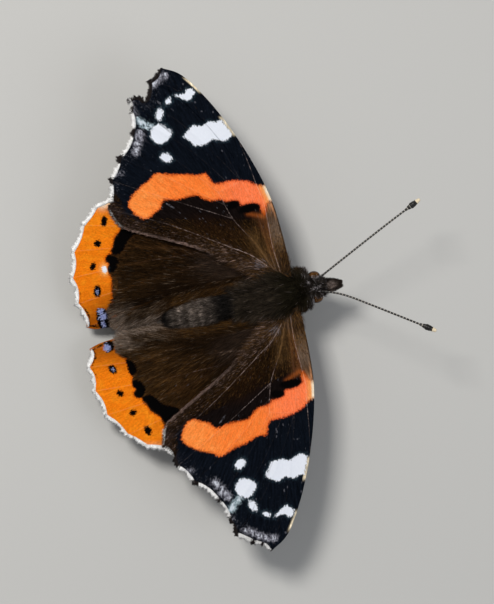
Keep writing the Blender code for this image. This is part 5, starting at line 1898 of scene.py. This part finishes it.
def make_flank_hair(material):
    """Hair from the inner fold of each hind wing, which rises along the abdomen and closes over its sides."""
    rear, front = -21.5, -5.5
    for word, side in SIDES.items():
        rng = np.random.default_rng(SEEDS["flank_hair"] + side)
        count = FLANK_HAIRS
        x, beside = rng.uniform(rear, front, count), rng.beta(1.2, 1.6, count) * 1.9
        y = inner_edge(x) + 0.25 + beside
        roots = np.column_stack([x, side * y, hind_height(np.column_stack([x, y])) + HALF_THICK * 0.3])
        behind = smoothstep(-x, 15.5, 18.5)
        length = rng.uniform(1.1, 2.4, count)
        inward = rng.uniform(0.05, 0.38, count) + 0.12 * behind
        far_in = 1.75 - 0.6 * rng.random(count) ** 2
        reached = np.minimum(np.maximum(y - length * inward, 0.1 + (far_in - 0.1) * (1 - behind)), y)
        tip_x = x - length * 0.93
        over = rng.uniform(-0.5, 0.2, count) - 0.75 * behind
        over_skin = skin_top(tip_x, reached) + rng.uniform(0.05, 0.2, count)
        over = np.maximum.reduce([over, roots[:, 2] + 0.12, over_skin])
        tips = np.column_stack([tip_x, side * reached, over])
        arch = np.column_stack([np.zeros((count, 2)), 0.1 + 0.14 * rng.random(count)])
        colour = layered(
            HAIR_DARK,
            (HAIR_BROWN, rng.uniform(0.0, 0.65, count) + 0.35 * behind),
            (HAIR_GOLD, (rng.random(count) < 0.4) & (y < 3.2) & (x > -15.0)),
            (HAIR_TAN, rng.random(count) < 0.04 + 0.41 * behind),
        )
        seam = 0.9 * behind * (y < 1.4) * (rng.random(count) < 0.6)
        colour = mixed(colour * wing_locks(roots[:, :2] * (1, side), 37, 0.4), HAIR_SEAM, seam)
        width = rng.uniform(0.02, 0.038, count)
        spots = np.stack([0.01 + 0.98 * (x - rear) / (front - rear), 0.02 + 0.9 * beside / 1.9], 1)
        parts = tuft_parts(roots, tips, arch, width, tuft_tones(colour, rng, 0.4), spots)
        put_coat("abdomen_flank_hair_" + word, parts, material)


# %% Hair on the fore wings
def make_fore_hair(material):
    """Down at the root of each fore wing, and short rough scales that stand up all along its inner margin."""
    for word, side in SIDES.items():
        grid = fore_patch(side)
        rng = np.random.default_rng(SEEDS["fore_hair"] + side)
        u, v = rng.beta(1.1, 2.2, FORE_DOWN) * 0.75 + 0.02, rng.uniform(0.02, 0.98, FORE_DOWN)
        u = np.append(u, rng.uniform(0.1, 0.99, FORE_EDGE_HAIRS))
        v = np.append(v, 1 - 0.2 * rng.beta(1.0, 1.6, FORE_EDGE_HAIRS))
        roots = at_patch(grid, u, v)
        x, y = roots[:, 0], roots[:, 1]
        on_costa = smoothstep(x, -2.8, -1.2) * smoothstep(y, 4.0, 5.5)
        gap = distance_to(roots, [grid[:, -1]])
        low = y < np.where(gap < 2.2, 30.0, 9.6 - 0.25 * x)
        keep = low & (rng.random(len(x)) > 0.8 * on_costa) & (shapes_by(roots, [FORE_BAND]) < -0.5)
        u, v, roots, x, y, on_costa, gap = (values[keep] for values in (u, v, roots, x, y, on_costa, gap))
        count = len(roots)
        by_margin = fade(gap, 1.2, 2.4)
        over_edge = fade(gap, 0.3, 1.3) * fade(-x, 6.5, 11.0)
        away = unit(roots - (-1.0, 1.0))
        to_edge = np.column_stack([-0.18 * by_margin, -0.3 * by_margin])
        lie = unit(away + rng.normal(0, 0.08, (count, 2)) + to_edge)
        lie = unit(lie + np.column_stack([-0.2 * over_edge, -0.5 * over_edge]))
        length = rng.uniform(0.5, 1.3, count) * (1 - 0.45 * on_costa) * (1 - 0.55 * smoothstep(y, 5.0, 9.0))
        length = length + 1.1 * over_edge * rng.uniform(0.3, 1, count)
        hover = rng.uniform(0.0, 0.06, count) + 0.05 * by_margin
        dark_front = smoothstep(x, -1.6, -0.6) * fade(y, 5.0, 7.5)
        pinkish = 0.75 * fade(gap, 0.2, 0.5) * smoothstep(-x, 8, 13) + 0.08 * by_margin
        colour = layered(
            HAIR_DARK,
            (HAIR_BROWN, 0.6 * rng.random(count)),
            (RUST, on_costa * 0.7),
            (HAIR_DARK, 0.6 * dark_front),
            (ROOT_VEIL, 0.55 * blot(roots, ROOT_STROKE, 1.3) * rng.random(count)),
            (ROOT_GOLD, 0.6 * blot(roots, GOLD_STROKE, 0.9)),
            (HAIR_GOLD, rng.random(count) < 0.1 + 0.25 * smoothstep(x, -5.5, -3.0)),
            (EDGE_PINK, rng.random(count) < pinkish),
        )
        colour = colour * wing_locks(roots, 47 + side, 0.5)
        wisp = 0.55 * blot(roots, [(-3.0, 4.15), (-3.5, 4.3)], 0.42) > rng.random(count)
        on_vein = (distance_to(roots, [smooth_line(FORE_VEINS["anal"], 0.8)]) < 0.05) & (x > -7.5)
        on_vein = on_vein & (rng.random(count) < 0.75)
        colour = layered(colour, (ROOT_LILAC, wisp), (VEIN_PALE, on_vein))
        lie, hover = np.where(on_vein[:, None], away, lie), np.where(on_vein, 0.1, hover)
        length = np.where(on_vein, 0.35, length)
        width = rng.uniform(0.018, 0.034, count)
        wing_hair("forewing", word, roots, lie, length, hover, width, colour, map_spot(u, v), rng, material)


# %% [markdown]
# Now everything is made, in the order of the solids: body, head, mouth, feelers, legs, wings and their
# hair.

# %% Build the butterfly
fur = fur_finish("soft_fur")
make_skin(fur)
make_thorax_coat(fur)
make_abdomen_coat(fur)
make_head_coat(fur)
make_eyes(eye_finish())
make_palps(fur)
make_tongue(horn_finish("tongue_horn", (0.05, 0.03, 0.02)))
make_feelers(horn_finish("feeler_horn", (0.008, 0.007, 0.0065), rings=(0.5, 0.47, 0.42)))
make_legs(fur_finish("leg_hair", tip_tone=1.2))
finishes = {kind: wing_finish(wing["slot"] + "_scales") for kind, wing in WINGS.items()}
for word in SIDES:
    for kind, finish in finishes.items():
        make_wing(kind, word, finish)
make_fringes(fur_finish("fringe_blades", root_tone=0.9, tip_tone=1.15))
make_hind_hair(fur)
make_flank_hair(fur)
make_fore_hair(fur)
